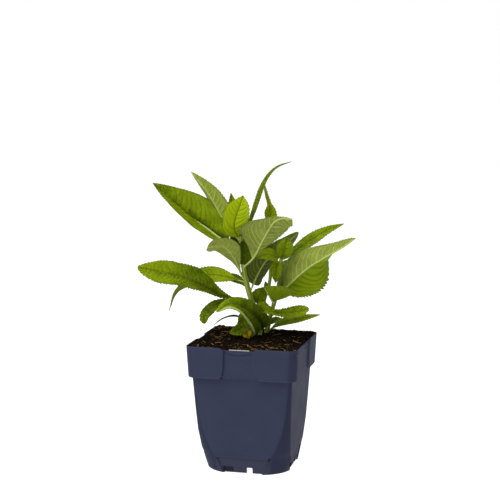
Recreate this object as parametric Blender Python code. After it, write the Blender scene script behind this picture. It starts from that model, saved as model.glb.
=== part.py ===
"""A young leafy perennial in a square plastic nursery pot.

Metres, +Z up. The origin is the middle of the pot's base, on the surface that it stands on.
The pot's front face looks along -Y. Stems and leaves are given in millimetres in the plant's own
frame: right, away and up, where "away" points from the front-right viewer to the back of the pot.
"""
import math
from collections import namedtuple

import bmesh
import bpy
from mathutils import Matrix, Vector, noise

MM = 0.001
GAP = 0.3 * MM

# Pot, in metres
POT_HEIGHT = 127 * MM
WALL = 1.2 * MM
LIP_HEIGHT = 31 * MM
LIP_BOTTOM_Z = POT_HEIGHT - LIP_HEIGHT
LIP_TOP_HALF = 55.8 * MM
LIP_BOTTOM_HALF = 54.2 * MM
LIP_CORNER = 6 * MM
LIP_WALL = 1.4 * MM
LIP_RECESS_HALF = 16.5 * MM
LIP_RECESS_DEPTH = 2.2 * MM
RIM_SCOOP = 2 * MM
BODY_TOP_HALF = 49.9 * MM
CREASE_Z = 13.5 * MM
CREASE_RUN = 0.4 * MM
FOOT_INSET = 0.8 * MM
FOOT_LIFT = 0.7 * MM
FOOT_RECESS_HALF = 17 * MM
CREASE_RECESS_HALF = 23.5 * MM
FLOOR_Z = 8 * MM
PAD_HALF = 18 * MM
PAD_FLARE = 3 * MM
PAD_CORNER = 6 * MM
PAD_MARK = 8 * MM
FLOOR_MARK = 16 * MM
RAMP = 0.4 * MM
CORNER_STEPS = 5

# Body sections between the crease and the lip: height, half width and corner radius
BODY_SECTIONS = (
    (CREASE_Z, 44.3 * MM, 18.5 * MM),
    (21 * MM, 45.3 * MM, 15.5 * MM),
    (42 * MM, 46.9 * MM, 8.5 * MM),
    (62 * MM, 47.9 * MM, 5.5 * MM),
    (LIP_BOTTOM_Z, BODY_TOP_HALF, 3.5 * MM),
)
FOOT_HALF = 42 * MM
FOOT_CORNER = 22.5 * MM

# Openings at the foot of each side: place along the side, bottom, width and height
SLOT = (-15.4 * MM, 2.2 * MM, 10 * MM, 4.6 * MM)
NOTCH = (5.8 * MM, -1 * MM, 5.4 * MM, 7 * MM)
OPENING_CUT_DEPTH = 12 * MM
DRAIN_PLACE = 24 * MM
DRAIN_RADIUS = 4 * MM
DRAIN_CUT = (FLOOR_Z - 2 * MM, FLOOR_Z + 3 * MM)
CUTTER_SIDES = 12

# Soil and label
SOIL_EDGE_Z = 123.5 * MM
SOIL_MOUND = 3.8 * MM
SOIL_MOUND_CENTRE = (4 * MM, 14 * MM)
SOIL_RELIEF = 0.9 * MM
SOIL_LUMPS_PER_METRE = 95
SOIL_RINGS = (0.9, 0.76, 0.6, 0.44, 0.28, 0.12)
SOIL_CUT_RAISE = 12 * MM
LABEL_WIDTH = 21.7 * MM
LABEL_LENGTH = 70 * MM
LABEL_THICKNESS = 0.8 * MM
LABEL_POINT = 12 * MM
LABEL_POINT_HALF = 3 * MM
LABEL_TOP = Vector((-2.3 * MM, -49.4 * MM, 127.2 * MM))
LABEL_LEAN = math.radians(4.9)

# The plant, in millimetres. Its frame is turned about Z against the pot and starts just above the ground
PLANT_TURN = math.radians(13.7)
PLANT_ZERO_Z = 2 * MM
STEM_SIDES = 8
STEM_IN_SOIL = 25
STEM_STEP = 9
TOOTH_PITCH = 5.6
TOOTH_DEPTH = 0.055
TOOTH_POINT = 0.75
PETIOLE = 0.12
PETIOLE_HALF = 1.1
TIP_HALF = 0.5
BLADE_HALF_THICKNESS = 0.38
RIB_HALF_THICKNESS = 0.8
SMOOTH_ANGLE = math.radians(35)

Stem = namedtuple("Stem", "path thick thin")
# Path from the stem to the tip, full width, where the upper face looks at even places along the path,
# how far each half folds up in degrees, the widest place as a share of length, and how full the shape is
Leaf = namedtuple("Leaf", "path width faces fold widest full", defaults=(0.4, 0.85))

VIEWER = ((0, -1, 0.2),)
SKY = ((0, 0, 1),)

TALL_STEM = Stem(((-1.6, 8, 124), (-1.6, 6, 158.5), (-6, 4, 178.5), (-10.5, 2, 202), (-12.5, 0, 227)),
                 2.9, 1.6)
TALL_LEAVES = (
    # The long low leaf on the left and the drooping one behind it
    Leaf(((-3, 6, 160), (-29, 0, 169), (-48, -6, 180.5), (-71, -12, 190.5), (-95, -16, 196),
          (-113.5, -19, 200)), 22, ((0.1, -0.7, 0.7), (0.1, -0.95, 0.3)), 6, 0.62, 0.55),
    Leaf(((-6.5, 4, 181), (-33, 10, 185), (-49, 13, 184.5), (-62, 15, 179), (-75, 16, 168),
          (-84.5, 16, 151)), 15, ((0, -0.85, 0.5), (-0.6, -0.6, 0.4)), 8),
    # The dark leaf that climbs behind to the right
    Leaf(((-3.5, 5, 170), (3.4, 11, 187), (14, 17, 203), (32, 24, 217.5), (46, 28, 229.5)),
         23, ((-0.3, 0.85, 0.4), (-0.4, 0.8, 0.5)), 10, 0.36),
    # The leaf that comes forward on the left, seen from below
    Leaf(((-7.5, 3.5, 184), (-17, -8, 207), (-29, -26, 221), (-38, -36, 224), (-44.5, -44, 221)),
         27, ((0.2, 0.6, 0.8), (-0.2, 0.5, 0.85)), 4, 0.7, 0.5),
    # The big leaf that comes forward on the right, seen from below
    Leaf(((-9.5, 2, 196), (0, -10, 209), (11, -25, 229), (23.3, -42, 242.5), (35.4, -58, 251)),
         43, ((-0.37, 0.8, 0.45),), 20, 0.46, 0.75),
    # The big leaf at the upper left and the pale one in front of it
    Leaf(((-11.5, 2, 213), (-34, 9, 224), (-58, 16, 246.5), (-73, 18, 259), (-101.5, 18, 280)),
         41, ((0.28, -0.79, 0.46),), 28),
    Leaf(((-12.5, 1, 222), (-29, 8, 243.5), (-44, 10, 269), (-62, 8, 292)), 25, ((0.42, 0.8, 0.4),), 30),
    # The bright young leaf at the top
    Leaf(((-12.5, 0, 223), (-18.5, -5, 236), (-17, -5, 248), (-13, -1.5, 259), (-10, 5, 268.5)),
         26, ((0, -1, 0.2), (0, -0.9, 0.4)), 8, 0.5, 0.95),
    # The sickle-shaped leaf seen on its edge
    Leaf(((-12, 0.5, 224), (-6, 4, 235.5), (-0.5, 7, 250), (4, 9, 263), (9, 11, 277), (16, 12, 289),
          (25, 13, 297), (38, 14, 301.5)), 10, ((-0.88, -0.38, 0.25), (-0.4, -0.4, 0.8)), 2),
    # Small leaves round the growing tip
    Leaf(((-12, 1.5, 224), (-18.5, 14, 247), (-23, 21, 270)), 10, VIEWER, 10),
    Leaf(((-11, 2, 214), (-6, 10, 232), (-1, 15, 245)), 10, VIEWER, 10),
    Leaf(((-9.5, 2, 198), (-7.5, -5, 207), (-2.6, -9, 215)), 9, ((-0.3, -0.7, 0.6), (-0.3, -0.9, 0.3)), 12),
    # Leaves on the far side
    Leaf(((-11, 2, 208), (-11, 20, 225), (-9, 44, 238)), 25, ((0, -0.5, 0.85), (0, -0.4, 0.9)), 8),
    Leaf(((-5, 5, 176), (-22, 24, 183), (-44, 48, 182)), 16, ((0, -0.3, 0.95), (0, -0.5, 0.85)), 8),
    # Low leaves: to the right across the next stem, to the left, and the one that hangs to the soil
    Leaf(((-1.6, 6.5, 157), (12, 0, 155.5), (28, -4, 153.5), (43, -8, 154), (57, -12, 156.5)),
         13, ((0.1, -0.7, 0.7), (0, -0.9, 0.4)), 6, 0.68, 0.6),
    Leaf(((-1.6, 7, 140), (-17, 4, 154), (-32, 0, 160.5), (-40.5, -2, 158), (-48, -5, 149.5),
          (-48.5, -7, 141)), 13, ((0, -0.7, 0.7), (-0.5, -0.8, 0.3)), 6, 0.6),
    Leaf(((-1.6, 8, 136), (-9, 2, 147), (-14, -3, 148), (-13.5, -6, 141), (-16, -8, 134),
          (-24, -11, 131.5)), 13, ((0, -0.7, 0.7), (-0.5, -0.8, 0.2)), 6, 0.6),
)

RIGHT_STEM = Stem(((13, 24, 124), (17, 20, 142), (21, 16, 158), (25.5, 12, 178), (27.4, 8, 201),
                   (30, 6, 209)), 2.3, 1.4)
RIGHT_LEAVES = (
    # The big leaf on the right, seen from below
    Leaf(((21.3, 15.5, 159.5), (33, 9, 172), (52, -4, 195), (66.5, -12, 206), (87, -20, 219),
          (100, -25, 229)), 48, (*3 * ((0.1, 0.98, 0),), (-0.12, 0.93, 0.3), *3 * ((-0.55, 0.5, 0.66),)),
         18, 0.38, 0.8),
    # The bright one above it
    Leaf(((28, 8, 203), (47, 16, 214.5), (61, 19, 224), (75.5, 22, 232), (92, 24, 238.5)),
         15, ((-0.3, -0.75, 0.6),), 10),
    # The small upright leaf and its neighbours at the top
    Leaf(((27.6, 8, 201), (31, 1, 214), (34.5, 4, 227)), 15, VIEWER, 8),
    Leaf(((26.5, 8.5, 200), (20, 3, 208), (12, 2, 209.5), (4, 3, 206)),
         17, ((0.1, -0.5, 0.85), (0, -0.7, 0.7)), 8),
    Leaf(((26.8, 9, 196), (23, 4, 191), (22.4, 2, 177.5)),
         11, ((-0.2, -0.8, 0.5), (-0.2, -1, 0.1)), 8, 0.34),
    # The folded leaf in front of the big one's base
    Leaf(((21.5, 15.5, 160), (15.8, 8, 169.5), (10.7, 1, 182.5)),
         28, ((0.55, -0.45, 0.35),), 27, 0.32, 0.78),
    # Low leaves near the soil
    Leaf(((13.6, 23.4, 128), (28, 16, 138), (46.5, 8, 143.5), (67.5, 2, 149)),
         13, ((0, -0.5, 0.85), (0, -0.6, 0.8)), 8),
    Leaf(((15, 22, 134), (24, 28, 140), (31, 34, 139)), 9, ((0, -0.3, 0.95),), 8),
)

BACK_STEM = Stem(((3.4, 26, 123), (11.5, 27, 160), (16.6, 28, 177), (18.2, 28, 199), (15.7, 28, 222)),
                 1.7, 1.1)
BACK_LEAVES = (
    # The upright leaf that turns on its edge
    Leaf(((15.8, 28, 220), (17.7, 28, 239), (16.2, 28, 254), (13.2, 28, 264), (10.2, 26, 278)),
         11, ((0, -1, 0.2), (0, -1, 0.2), (0.9, -0.4, 0.2), (0.8, 0.6, 0.2), (0.8, 0.6, 0.2)), 6),
    # Leaves on the far side
    Leaf(((17.5, 28, 188), (38, 44, 194), (62, 56, 192)), 19, ((0, -0.2, 1), (0, -0.4, 0.9)), 8),
    Leaf(((17, 28, 211), (0, 44, 225), (-24, 62, 233)), 17, ((0, -0.2, 1), (0, -0.4, 0.9)), 8),
    # The thin dark leaf low on the left
    Leaf(((5, 26, 131), (-12, 24, 145), (-22, 22, 145), (-33, 24, 140), (-40, 24, 135)), 8, SKY, 6),
)

FRONT_STEM = Stem(((6.5, 10, 124), (6, 11, 142), (5.5, 12, 158)), 1.8, 1.2)
FRONT_LEAVES = (
    # The big arching leaf in front
    Leaf(((6.4, 10, 128), (7.5, 3, 132), (5.5, -4, 140), (-0.8, -10, 150.5), (-11, -15, 160.5),
          (-23.5, -19, 164.5), (-35.6, -19, 156)), 20, ((0.3, -0.9, 0.3), (-0.2, -0.8, 0.6)), 4, 0.38),
    # The upright one behind the others
    Leaf(((5.5, 12, 157), (7.3, 12, 165.5), (13.5, 11, 178)), 11, ((-0.2, -0.9, 0.3),), 10),
)

OLD_LEAF_STEM = Stem(((-4.2, 0.5, 123), (-4.5, 0.2, 127)), 1.1, 0.9)
OLD_LEAF = (Leaf(((-4.5, 0.2, 125.5), (-6, -1.5, 129.5), (-8, -2.5, 134)), 9, VIEWER, 6, 0.5, 0.6),)


def material(name, colour, roughness):
    mat = bpy.data.materials.new(name)
    mat.use_nodes = True
    shader = mat.node_tree.nodes["Principled BSDF"]
    shader.inputs["Base Color"].default_value = (*colour, 1)
    shader.inputs["Roughness"].default_value = roughness
    mat.diffuse_color = (*colour, 1)
    return mat


def add_object(name, bm):
    bmesh.ops.recalc_face_normals(bm, faces=bm.faces)
    mesh = bpy.data.meshes.new(name)
    bm.to_mesh(mesh)
    bm.free()
    obj = bpy.data.objects.new(name, mesh)
    bpy.context.scene.collection.objects.link(obj)
    return obj


def finish(obj, mat, parent):
    """Give a sub-part its material and its parent, and shade its round stretches smooth."""
    obj.data.materials.clear()
    obj.data.materials.append(mat)
    obj.data.shade_smooth()
    obj.data.set_sharp_from_angle(angle=SMOOTH_ANGLE)
    obj.parent = parent


def boolean(obj, operation, others, solver="EXACT"):
    """Join or cut obj with a list of objects, apply the result and remove them."""
    group = bpy.data.collections.new(obj.name + "_tools")
    for other in others:
        bpy.context.scene.collection.objects.unlink(other)
        group.objects.link(other)
    bpy.context.scene.collection.children.link(group)
    modifier = obj.modifiers.new(operation.title(), "BOOLEAN")
    modifier.operation = operation
    modifier.operand_type = "COLLECTION"
    modifier.collection = group
    modifier.solver = solver
    depsgraph = bpy.context.evaluated_depsgraph_get()
    result = bpy.data.meshes.new_from_object(obj.evaluated_get(depsgraph))
    obj.modifiers.remove(modifier)
    old = obj.data
    obj.data = result
    bpy.data.meshes.remove(old)
    for other in others:
        bpy.data.objects.remove(other)
    bpy.data.collections.remove(group)


# Pot

def square_ring(z, half, corner, recess_half, recess=0.0, lift=0.0):
    """A rounded square at height z. The middle of each side is set back by recess and lifted by lift."""
    side = []
    centre = half - corner
    for step in range(CORNER_STEPS + 1):
        angle = math.radians(-135 + 45 * (2 * step / CORNER_STEPS - 1))
        side.append(Vector((-centre + corner * math.cos(angle), -centre + corner * math.sin(angle), z)))
    for x in (-recess_half - RAMP, -recess_half + RAMP, recess_half - RAMP, recess_half + RAMP):
        inner = abs(x) < recess_half
        side.append(Vector((x, -half + (recess if inner else 0), z + (lift if inner else 0))))
    ring = []
    for turn in range(4):
        spin = Matrix.Rotation(math.radians(90 * turn), 3, "Z")
        ring += [spin @ point for point in side]
    return ring


def loft(bm, rings, cap_ends=True):
    loops = [[bm.verts.new(point) for point in ring] for ring in rings]
    for lower, upper in zip(loops, loops[1:]):
        for i in range(len(lower)):
            j = (i + 1) % len(lower)
            bm.faces.new((lower[i], lower[j], upper[j], upper[i]))
    if cap_ends:
        bm.faces.new(loops[0][::-1])
        bm.faces.new(loops[-1])
    return loops


def body_recess_half(z):
    """The marks of the lip's recess spread down to the width of the foot's inset."""
    share = (z - CREASE_Z) / (LIP_BOTTOM_Z - CREASE_Z)
    return CREASE_RECESS_HALF + share * (LIP_RECESS_HALF - CREASE_RECESS_HALF)


def lip_inner_ring(z, outer_half, scoop):
    recess_half = LIP_RECESS_HALF + LIP_WALL
    return square_ring(z, outer_half - LIP_WALL, LIP_CORNER - LIP_WALL, recess_half, LIP_RECESS_DEPTH, scoop)


def inner_rings(inset):
    """The pot's inside, from the lowest point of its floor up to the rim, moved inward by inset."""
    rings = [
        square_ring(WALL + inset, PAD_HALF - inset, PAD_CORNER, PAD_MARK),
        square_ring(FLOOR_Z + WALL + inset, PAD_HALF + PAD_FLARE - inset, PAD_CORNER, PAD_MARK),
    ]
    first_half, first_corner = BODY_SECTIONS[0][1:]
    floor_z = FLOOR_Z + WALL + inset
    rings.append(square_ring(floor_z, first_half - 2 * WALL - inset, first_corner, FLOOR_MARK))
    for z, half, corner in BODY_SECTIONS[:-1]:
        rings.append(square_ring(z + WALL, half - WALL - inset, corner, LIP_RECESS_HALF))
    z, half, corner = BODY_SECTIONS[-1]
    rings.append(square_ring(z + WALL + inset, half - WALL - inset, corner, LIP_RECESS_HALF))
    rings.append(lip_inner_ring(z + LIP_WALL + inset, LIP_BOTTOM_HALF - inset, 0))
    return rings


def side_cutters():
    """The slot and the open notch at the foot of each of the four sides."""
    cutters = []
    for turn in range(4):
        for place, bottom, width, height in (SLOT, NOTCH):
            bm = bmesh.new()
            bmesh.ops.create_cube(bm, size=1)
            bmesh.ops.scale(bm, vec=(width, OPENING_CUT_DEPTH, height), verts=bm.verts)
            bmesh.ops.translate(bm, vec=(place, -FOOT_HALF, bottom + height / 2), verts=bm.verts)
            bmesh.ops.rotate(bm, matrix=Matrix.Rotation(math.radians(90 * turn), 3, "Z"), verts=bm.verts)
            cutters.append(add_object("cutter", bm))
    return cutters


def round_cutter(x, y, low, high, radius):
    """A prism whose flat sides lie at the radius."""
    outer = radius / math.cos(math.pi / CUTTER_SIDES)
    depth = high - low
    bm = bmesh.new()
    bmesh.ops.create_cone(bm, cap_ends=True, segments=CUTTER_SIDES, radius1=outer, radius2=outer, depth=depth)
    bmesh.ops.translate(bm, vec=(x, y, (low + high) / 2), verts=bm.verts)
    return add_object("cutter", bm)


def make_pot():
    under = [
        square_ring(0, PAD_HALF, PAD_CORNER, PAD_MARK),
        square_ring(FLOOR_Z, PAD_HALF + PAD_FLARE, PAD_CORNER, PAD_MARK),
        square_ring(FLOOR_Z, FOOT_HALF - WALL, FOOT_CORNER - WALL, FOOT_RECESS_HALF, FOOT_INSET),
        square_ring(0, FOOT_HALF - WALL, FOOT_CORNER - WALL, FOOT_RECESS_HALF, FOOT_INSET, FOOT_LIFT),
    ]
    half, corner = BODY_SECTIONS[0][1:]
    outside = [
        square_ring(0, FOOT_HALF, FOOT_CORNER, FOOT_RECESS_HALF, FOOT_INSET, FOOT_LIFT),
        square_ring(CREASE_Z - CREASE_RUN, half, corner, CREASE_RECESS_HALF, FOOT_INSET),
    ]
    for z, half, corner in BODY_SECTIONS:
        outside.append(square_ring(z, half, corner, body_recess_half(z)))
    lip = (LIP_CORNER, LIP_RECESS_HALF, LIP_RECESS_DEPTH)
    outside.append(square_ring(LIP_BOTTOM_Z, LIP_BOTTOM_HALF, *lip))
    outside.append(square_ring(POT_HEIGHT, LIP_TOP_HALF, *lip, -RIM_SCOOP))
    inside = inner_rings(0)
    inside.append(lip_inner_ring(POT_HEIGHT, LIP_TOP_HALF, -RIM_SCOOP))
    bm = bmesh.new()
    loft(bm, under + outside + inside[::-1])
    pot = add_object("pot", bm)
    cutters = side_cutters()
    for x in (-DRAIN_PLACE, DRAIN_PLACE):
        for y in (-DRAIN_PLACE, DRAIN_PLACE):
            cutters.append(round_cutter(x, y, *DRAIN_CUT, DRAIN_RADIUS))
    boolean(pot, "DIFFERENCE", cutters)
    return pot


# Soil and label

def soil_height(x, y):
    """A low mound with lumps, highest where the stems come up."""
    distance = math.hypot(x - SOIL_MOUND_CENTRE[0], y - SOIL_MOUND_CENTRE[1]) / LIP_TOP_HALF
    mound = SOIL_MOUND * max(0.0, 1 - distance)
    lumps = noise.noise(Vector((x, y, 0)) * SOIL_LUMPS_PER_METRE) * SOIL_RELIEF
    return SOIL_EDGE_Z + mound + lumps


def label_outline(grow):
    """The label's outline in its own plane, x across and y down from its top edge, larger by grow."""
    half = LABEL_WIDTH / 2 + grow
    tip = LABEL_LENGTH + 2 * grow
    shoulder = tip - LABEL_POINT
    return (
        (-half, -grow), (half, -grow), (half, shoulder),
        (LABEL_POINT_HALF, tip), (-LABEL_POINT_HALF, tip), (-half, shoulder),
    )


def make_label(name="label", grow=0.0, raise_top=0.0):
    """The plant label, or the larger solid that cuts its slit into the soil."""
    bm = bmesh.new()
    thickness = LABEL_THICKNESS / 2 + grow
    rings = []
    for side in (-thickness, thickness):
        ring = []
        for x, down in label_outline(grow):
            top = raise_top if down <= 0 else 0.0
            ring.append(Vector((x, side, -down + top)))
        rings.append(ring)
    loft(bm, rings)
    label = add_object(name, bm)
    label.location = LABEL_TOP
    label.rotation_euler.x = LABEL_LEAN
    return label


def make_soil(stems):
    share = (SOIL_EDGE_Z - LIP_BOTTOM_Z) / LIP_HEIGHT
    lip_half = LIP_BOTTOM_HALF + share * (LIP_TOP_HALF - LIP_BOTTOM_HALF)
    edge = lip_inner_ring(SOIL_EDGE_Z, lip_half - GAP, 0)
    bm = bmesh.new()
    rings = inner_rings(GAP) + [edge]
    for share in SOIL_RINGS:
        ring = []
        for point in edge:
            x = point.x * share
            y = point.y * share
            ring.append(Vector((x, y, soil_height(x, y))))
        rings.append(ring)
    loft(bm, rings)
    soil = add_object("soil", bm)
    cutters = [make_label("cutter", GAP, SOIL_CUT_RAISE)]
    for stem in stems:
        foot = plant_point(stem.path[0])
        low = foot.z - STEM_IN_SOIL * MM - GAP
        cutters.append(round_cutter(foot.x, foot.y, low, foot.z + SOIL_CUT_RAISE, stem.thick * MM + GAP))
    boolean(soil, "DIFFERENCE", cutters)
    return soil


# Plant

def plant_direction(vector):
    right, away, up = vector
    return Vector((
        right * math.cos(PLANT_TURN) - away * math.sin(PLANT_TURN),
        right * math.sin(PLANT_TURN) + away * math.cos(PLANT_TURN),
        up,
    ))


def plant_point(point):
    return plant_direction(point) * MM + Vector((0, 0, PLANT_ZERO_Z))


def curve_point(points, t):
    """A point at t, from 0 to 1, on the smooth curve through the points."""
    spans = len(points) - 1
    i = min(int(t * spans), spans - 1)
    u = t * spans - i
    p1 = points[i]
    p2 = points[i + 1]
    p0 = points[i - 1] if i > 0 else 2 * p1 - p2
    p3 = points[i + 2] if i + 2 <= spans else 2 * p2 - p1
    square = 2 * p0 - 5 * p1 + 4 * p2 - p3
    cube = 3 * p1 - p0 - 3 * p2 + p3
    return 0.5 * (2 * p1 + (p2 - p0) * u + square * u**2 + cube * u**3)


class Spine:
    """The smooth line through a list of points, read by its share of length."""

    SAMPLES = 96

    def __init__(self, path):
        points = [plant_point(point) for point in path]
        self.samples = [curve_point(points, i / self.SAMPLES) for i in range(self.SAMPLES + 1)]
        self.lengths = [0.0]
        for a, b in zip(self.samples, self.samples[1:]):
            self.lengths.append(self.lengths[-1] + (b - a).length)
        self.length = self.lengths[-1]

    def at(self, share):
        target = share * self.length
        i = 0
        while i < self.SAMPLES - 1 and self.lengths[i + 1] < target:
            i += 1
        step = self.lengths[i + 1] - self.lengths[i]
        return self.samples[i].lerp(self.samples[i + 1], (target - self.lengths[i]) / step)

    def along(self, share):
        low = max(0.0, share - 0.02)
        high = min(1.0, share + 0.02)
        return (self.at(high) - self.at(low)).normalized()


def blade_shape(leaf, share):
    """Half width of a lance-shaped leaf as a share of its greatest half width."""
    if share <= PETIOLE:
        return 0.0
    u = (share - PETIOLE) / (1 - PETIOLE)
    return math.sin(math.pi * u ** (math.log(0.5) / math.log(leaf.widest))) ** leaf.full


def upper_face(leaf, share):
    """Where the upper face looks at a share of the leaf's length."""
    place = share * (len(leaf.faces) - 1)
    i = min(int(place), max(0, len(leaf.faces) - 2))
    j = min(i + 1, len(leaf.faces) - 1)
    return plant_direction(leaf.faces[i]).lerp(plant_direction(leaf.faces[j]), place - i)


def tooth_stations(spine):
    """Shares of length with their tooth: 1 at a tooth's point, -1 in the notch after it."""
    teeth = max(4, round(spine.length / (TOOTH_PITCH * MM)))
    stations = [(0.0, 0), (PETIOLE / 2, 0), (PETIOLE, 0)]
    for k in range(teeth):
        start = PETIOLE + (1 - PETIOLE) * k / teeth
        pitch = (1 - PETIOLE) / teeth
        if k > 0:
            stations.append((start, -1))
        if k < teeth - 1:
            stations.append((start + TOOTH_POINT * pitch, 1))
    stations.append((1.0, 0))
    return stations


def leaf_section(leaf, spine, share, tooth):
    """Three points on the upper face and three on the lower: left edge, rib and right edge."""
    point = spine.at(share)
    along = spine.along(share)
    across = along.cross(upper_face(leaf, share)).normalized()
    normal = across.cross(along)
    half = leaf.width / 2 * blade_shape(leaf, share) * (1 + TOOTH_DEPTH * tooth)
    half = max(half, PETIOLE_HALF if share < 0.5 else TIP_HALF) * MM
    fold = math.radians(leaf.fold)
    side = across * half * math.cos(fold)
    rise = normal * half * math.sin(fold)
    thick = normal * BLADE_HALF_THICKNESS * MM
    rib = normal * max(BLADE_HALF_THICKNESS, RIB_HALF_THICKNESS * (1 - share)) * MM
    upper = (point - side + rise + thick, point + thick, point + side + rise + thick)
    lower = (point - side + rise - thick, point - rib, point + side + rise - thick)
    return upper, lower


def make_leaf(leaf):
    """A thin folded blade with a toothed edge, split into triangles alike on both faces."""
    spine = Spine(leaf.path)
    bm = bmesh.new()
    sections = []
    for share, tooth in tooth_stations(spine):
        upper, lower = leaf_section(leaf, spine, share, tooth)
        sections.append(([bm.verts.new(p) for p in upper], [bm.verts.new(p) for p in lower]))
    for (up_a, low_a), (up_b, low_b) in zip(sections, sections[1:]):
        for i in range(2):
            bm.faces.new((up_a[i], up_a[i + 1], up_b[i + 1]))
            bm.faces.new((up_a[i], up_b[i + 1], up_b[i]))
            bm.faces.new((low_a[i + 1], low_a[i], low_b[i + 1]))
            bm.faces.new((low_a[i], low_b[i], low_b[i + 1]))
        for i in (0, 2):
            bm.faces.new((up_a[i], up_b[i], low_b[i]))
            bm.faces.new((up_a[i], low_b[i], low_a[i]))
    for upper, lower in (sections[0], sections[-1]):
        bm.faces.new((upper[0], upper[1], lower[1], lower[0]))
        bm.faces.new((upper[1], upper[2], lower[2], lower[1]))
    return add_object("leaf", bm)


def make_stem(name, stem):
    """A tapering stem, straight where it stands in the soil."""
    right, away, up = stem.path[0]
    spine = Spine(stem.path)
    upright = Vector((0, 0, 1))
    foot = plant_point((right, away, up - STEM_IN_SOIL))
    points = [(foot, upright, stem.thick), (plant_point(stem.path[0]), upright, stem.thick)]
    steps = max(2, round(spine.length / (STEM_STEP * MM)))
    for i in range(1, steps + 1):
        share = i / steps
        points.append((spine.at(share), spine.along(share), stem.thick + share * (stem.thin - stem.thick)))
    rings = []
    for point, along, radius in points:
        side = along.cross(Vector((0, 1, 0))).normalized()
        other = along.cross(side)
        ring = []
        for k in range(STEM_SIDES):
            angle = 2 * math.pi * k / STEM_SIDES
            ring.append(point + (side * math.cos(angle) + other * math.sin(angle)) * radius * MM)
        rings.append(ring)
    bm = bmesh.new()
    loft(bm, rings)
    return add_object(name, bm)


def make_leafy_stem(name, stem, leaves):
    shoot = make_stem(name, stem)
    boolean(shoot, "UNION", [make_leaf(leaf) for leaf in leaves])
    return shoot


def clear_scene():
    for obj in list(bpy.data.objects):
        bpy.data.objects.remove(obj)


def main():
    clear_scene()
    plant = bpy.data.objects.new("potted_plant", None)
    bpy.context.scene.collection.objects.link(plant)
    stems = (TALL_STEM, RIGHT_STEM, BACK_STEM, FRONT_STEM, OLD_LEAF_STEM)
    finish(make_pot(), material("pot plastic", (0.045, 0.052, 0.085), 0.45), plant)
    finish(make_label(), material("label plastic", (0.8, 0.8, 0.78), 0.4), plant)
    finish(make_soil(stems), material("peat soil", (0.035, 0.02, 0.012), 0.95), plant)
    tall = make_leafy_stem("leafy_stem_tall", TALL_STEM, TALL_LEAVES)
    finish(tall, material("tall stem green", (0.15, 0.26, 0.01), 0.5), plant)
    right = make_leafy_stem("leafy_stem_right", RIGHT_STEM, RIGHT_LEAVES)
    finish(right, material("right stem green", (0.16, 0.25, 0.02), 0.5), plant)
    back = make_leafy_stem("leafy_stem_back", BACK_STEM, BACK_LEAVES)
    finish(back, material("back stem green", (0.11, 0.2, 0.01), 0.5), plant)
    front = make_leafy_stem("leafy_stem_front", FRONT_STEM, FRONT_LEAVES)
    finish(front, material("front stem green", (0.13, 0.22, 0.01), 0.5), plant)
    old_leaf = make_leafy_stem("yellow_leaf", OLD_LEAF_STEM, OLD_LEAF)
    finish(old_leaf, material("old leaf yellow", (0.55, 0.4, 0.02), 0.6), plant)


main()
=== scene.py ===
import math
import random
from collections import namedtuple
from functools import partial

import bmesh
import bpy
import numpy as np
from mathutils import Matrix, Vector, noise


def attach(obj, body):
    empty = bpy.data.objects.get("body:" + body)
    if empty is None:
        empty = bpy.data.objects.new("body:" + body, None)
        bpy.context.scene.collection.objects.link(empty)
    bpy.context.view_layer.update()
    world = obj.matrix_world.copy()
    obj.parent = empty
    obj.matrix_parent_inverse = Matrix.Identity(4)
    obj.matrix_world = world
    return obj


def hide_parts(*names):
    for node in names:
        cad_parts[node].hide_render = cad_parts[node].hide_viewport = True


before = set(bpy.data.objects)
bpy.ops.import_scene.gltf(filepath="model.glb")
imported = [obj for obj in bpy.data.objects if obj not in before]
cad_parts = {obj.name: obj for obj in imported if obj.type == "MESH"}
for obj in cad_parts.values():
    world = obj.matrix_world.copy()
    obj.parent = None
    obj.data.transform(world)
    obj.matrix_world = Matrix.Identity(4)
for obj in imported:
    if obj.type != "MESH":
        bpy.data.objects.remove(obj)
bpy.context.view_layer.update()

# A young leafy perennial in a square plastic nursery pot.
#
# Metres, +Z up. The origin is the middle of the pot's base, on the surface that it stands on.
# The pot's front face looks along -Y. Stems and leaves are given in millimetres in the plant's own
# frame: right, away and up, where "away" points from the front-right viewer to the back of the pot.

MM = 0.001
GAP = 0.3 * MM

# Pot, in metres
POT_HEIGHT = 127 * MM
WALL = 1.2 * MM
LIP_HEIGHT = 31 * MM
LIP_BOTTOM_Z = POT_HEIGHT - LIP_HEIGHT
LIP_TOP_HALF = 55.8 * MM
LIP_BOTTOM_HALF = 54.2 * MM
LIP_CORNER = 8.2 * MM
LIP_WALL = 1.4 * MM
RECESS_DEPTH = 2.2 * MM
# The recess in the lip at heights under the rim: its left and right edge. It is narrow above and spreads
# like a bell at the lip's lower edge, and its right edge is a soft ramp
RECESS_EDGES = (
    (0, -16.3 * MM, 12.4 * MM),
    (18 * MM, -16.8 * MM, 13 * MM),
    (24 * MM, -17.5 * MM, 13.7 * MM),
    (28 * MM, -18.6 * MM, 14.8 * MM),
    (31 * MM, -20.4 * MM, 17.5 * MM),
)
# The recessed part ends higher than the rest of the lip
RECESS_LIFT = 1 * MM
RECESS_LIFT_RUN = 5 * MM
LEFT_RAMP = 0.4 * MM
RIGHT_RAMP = 1.6 * MM
LIP_EDGE_ROUND = 0.45 * MM
FOOT_BEVEL = 0.6 * LIP_EDGE_ROUND
# The rim is scooped out over the recess of the front and of the right side only
RIM_SCOOP = 2.4 * MM
SCOOPED_SIDES = (0, 1)
SCOOP_RUN = 3.5 * MM
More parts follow.
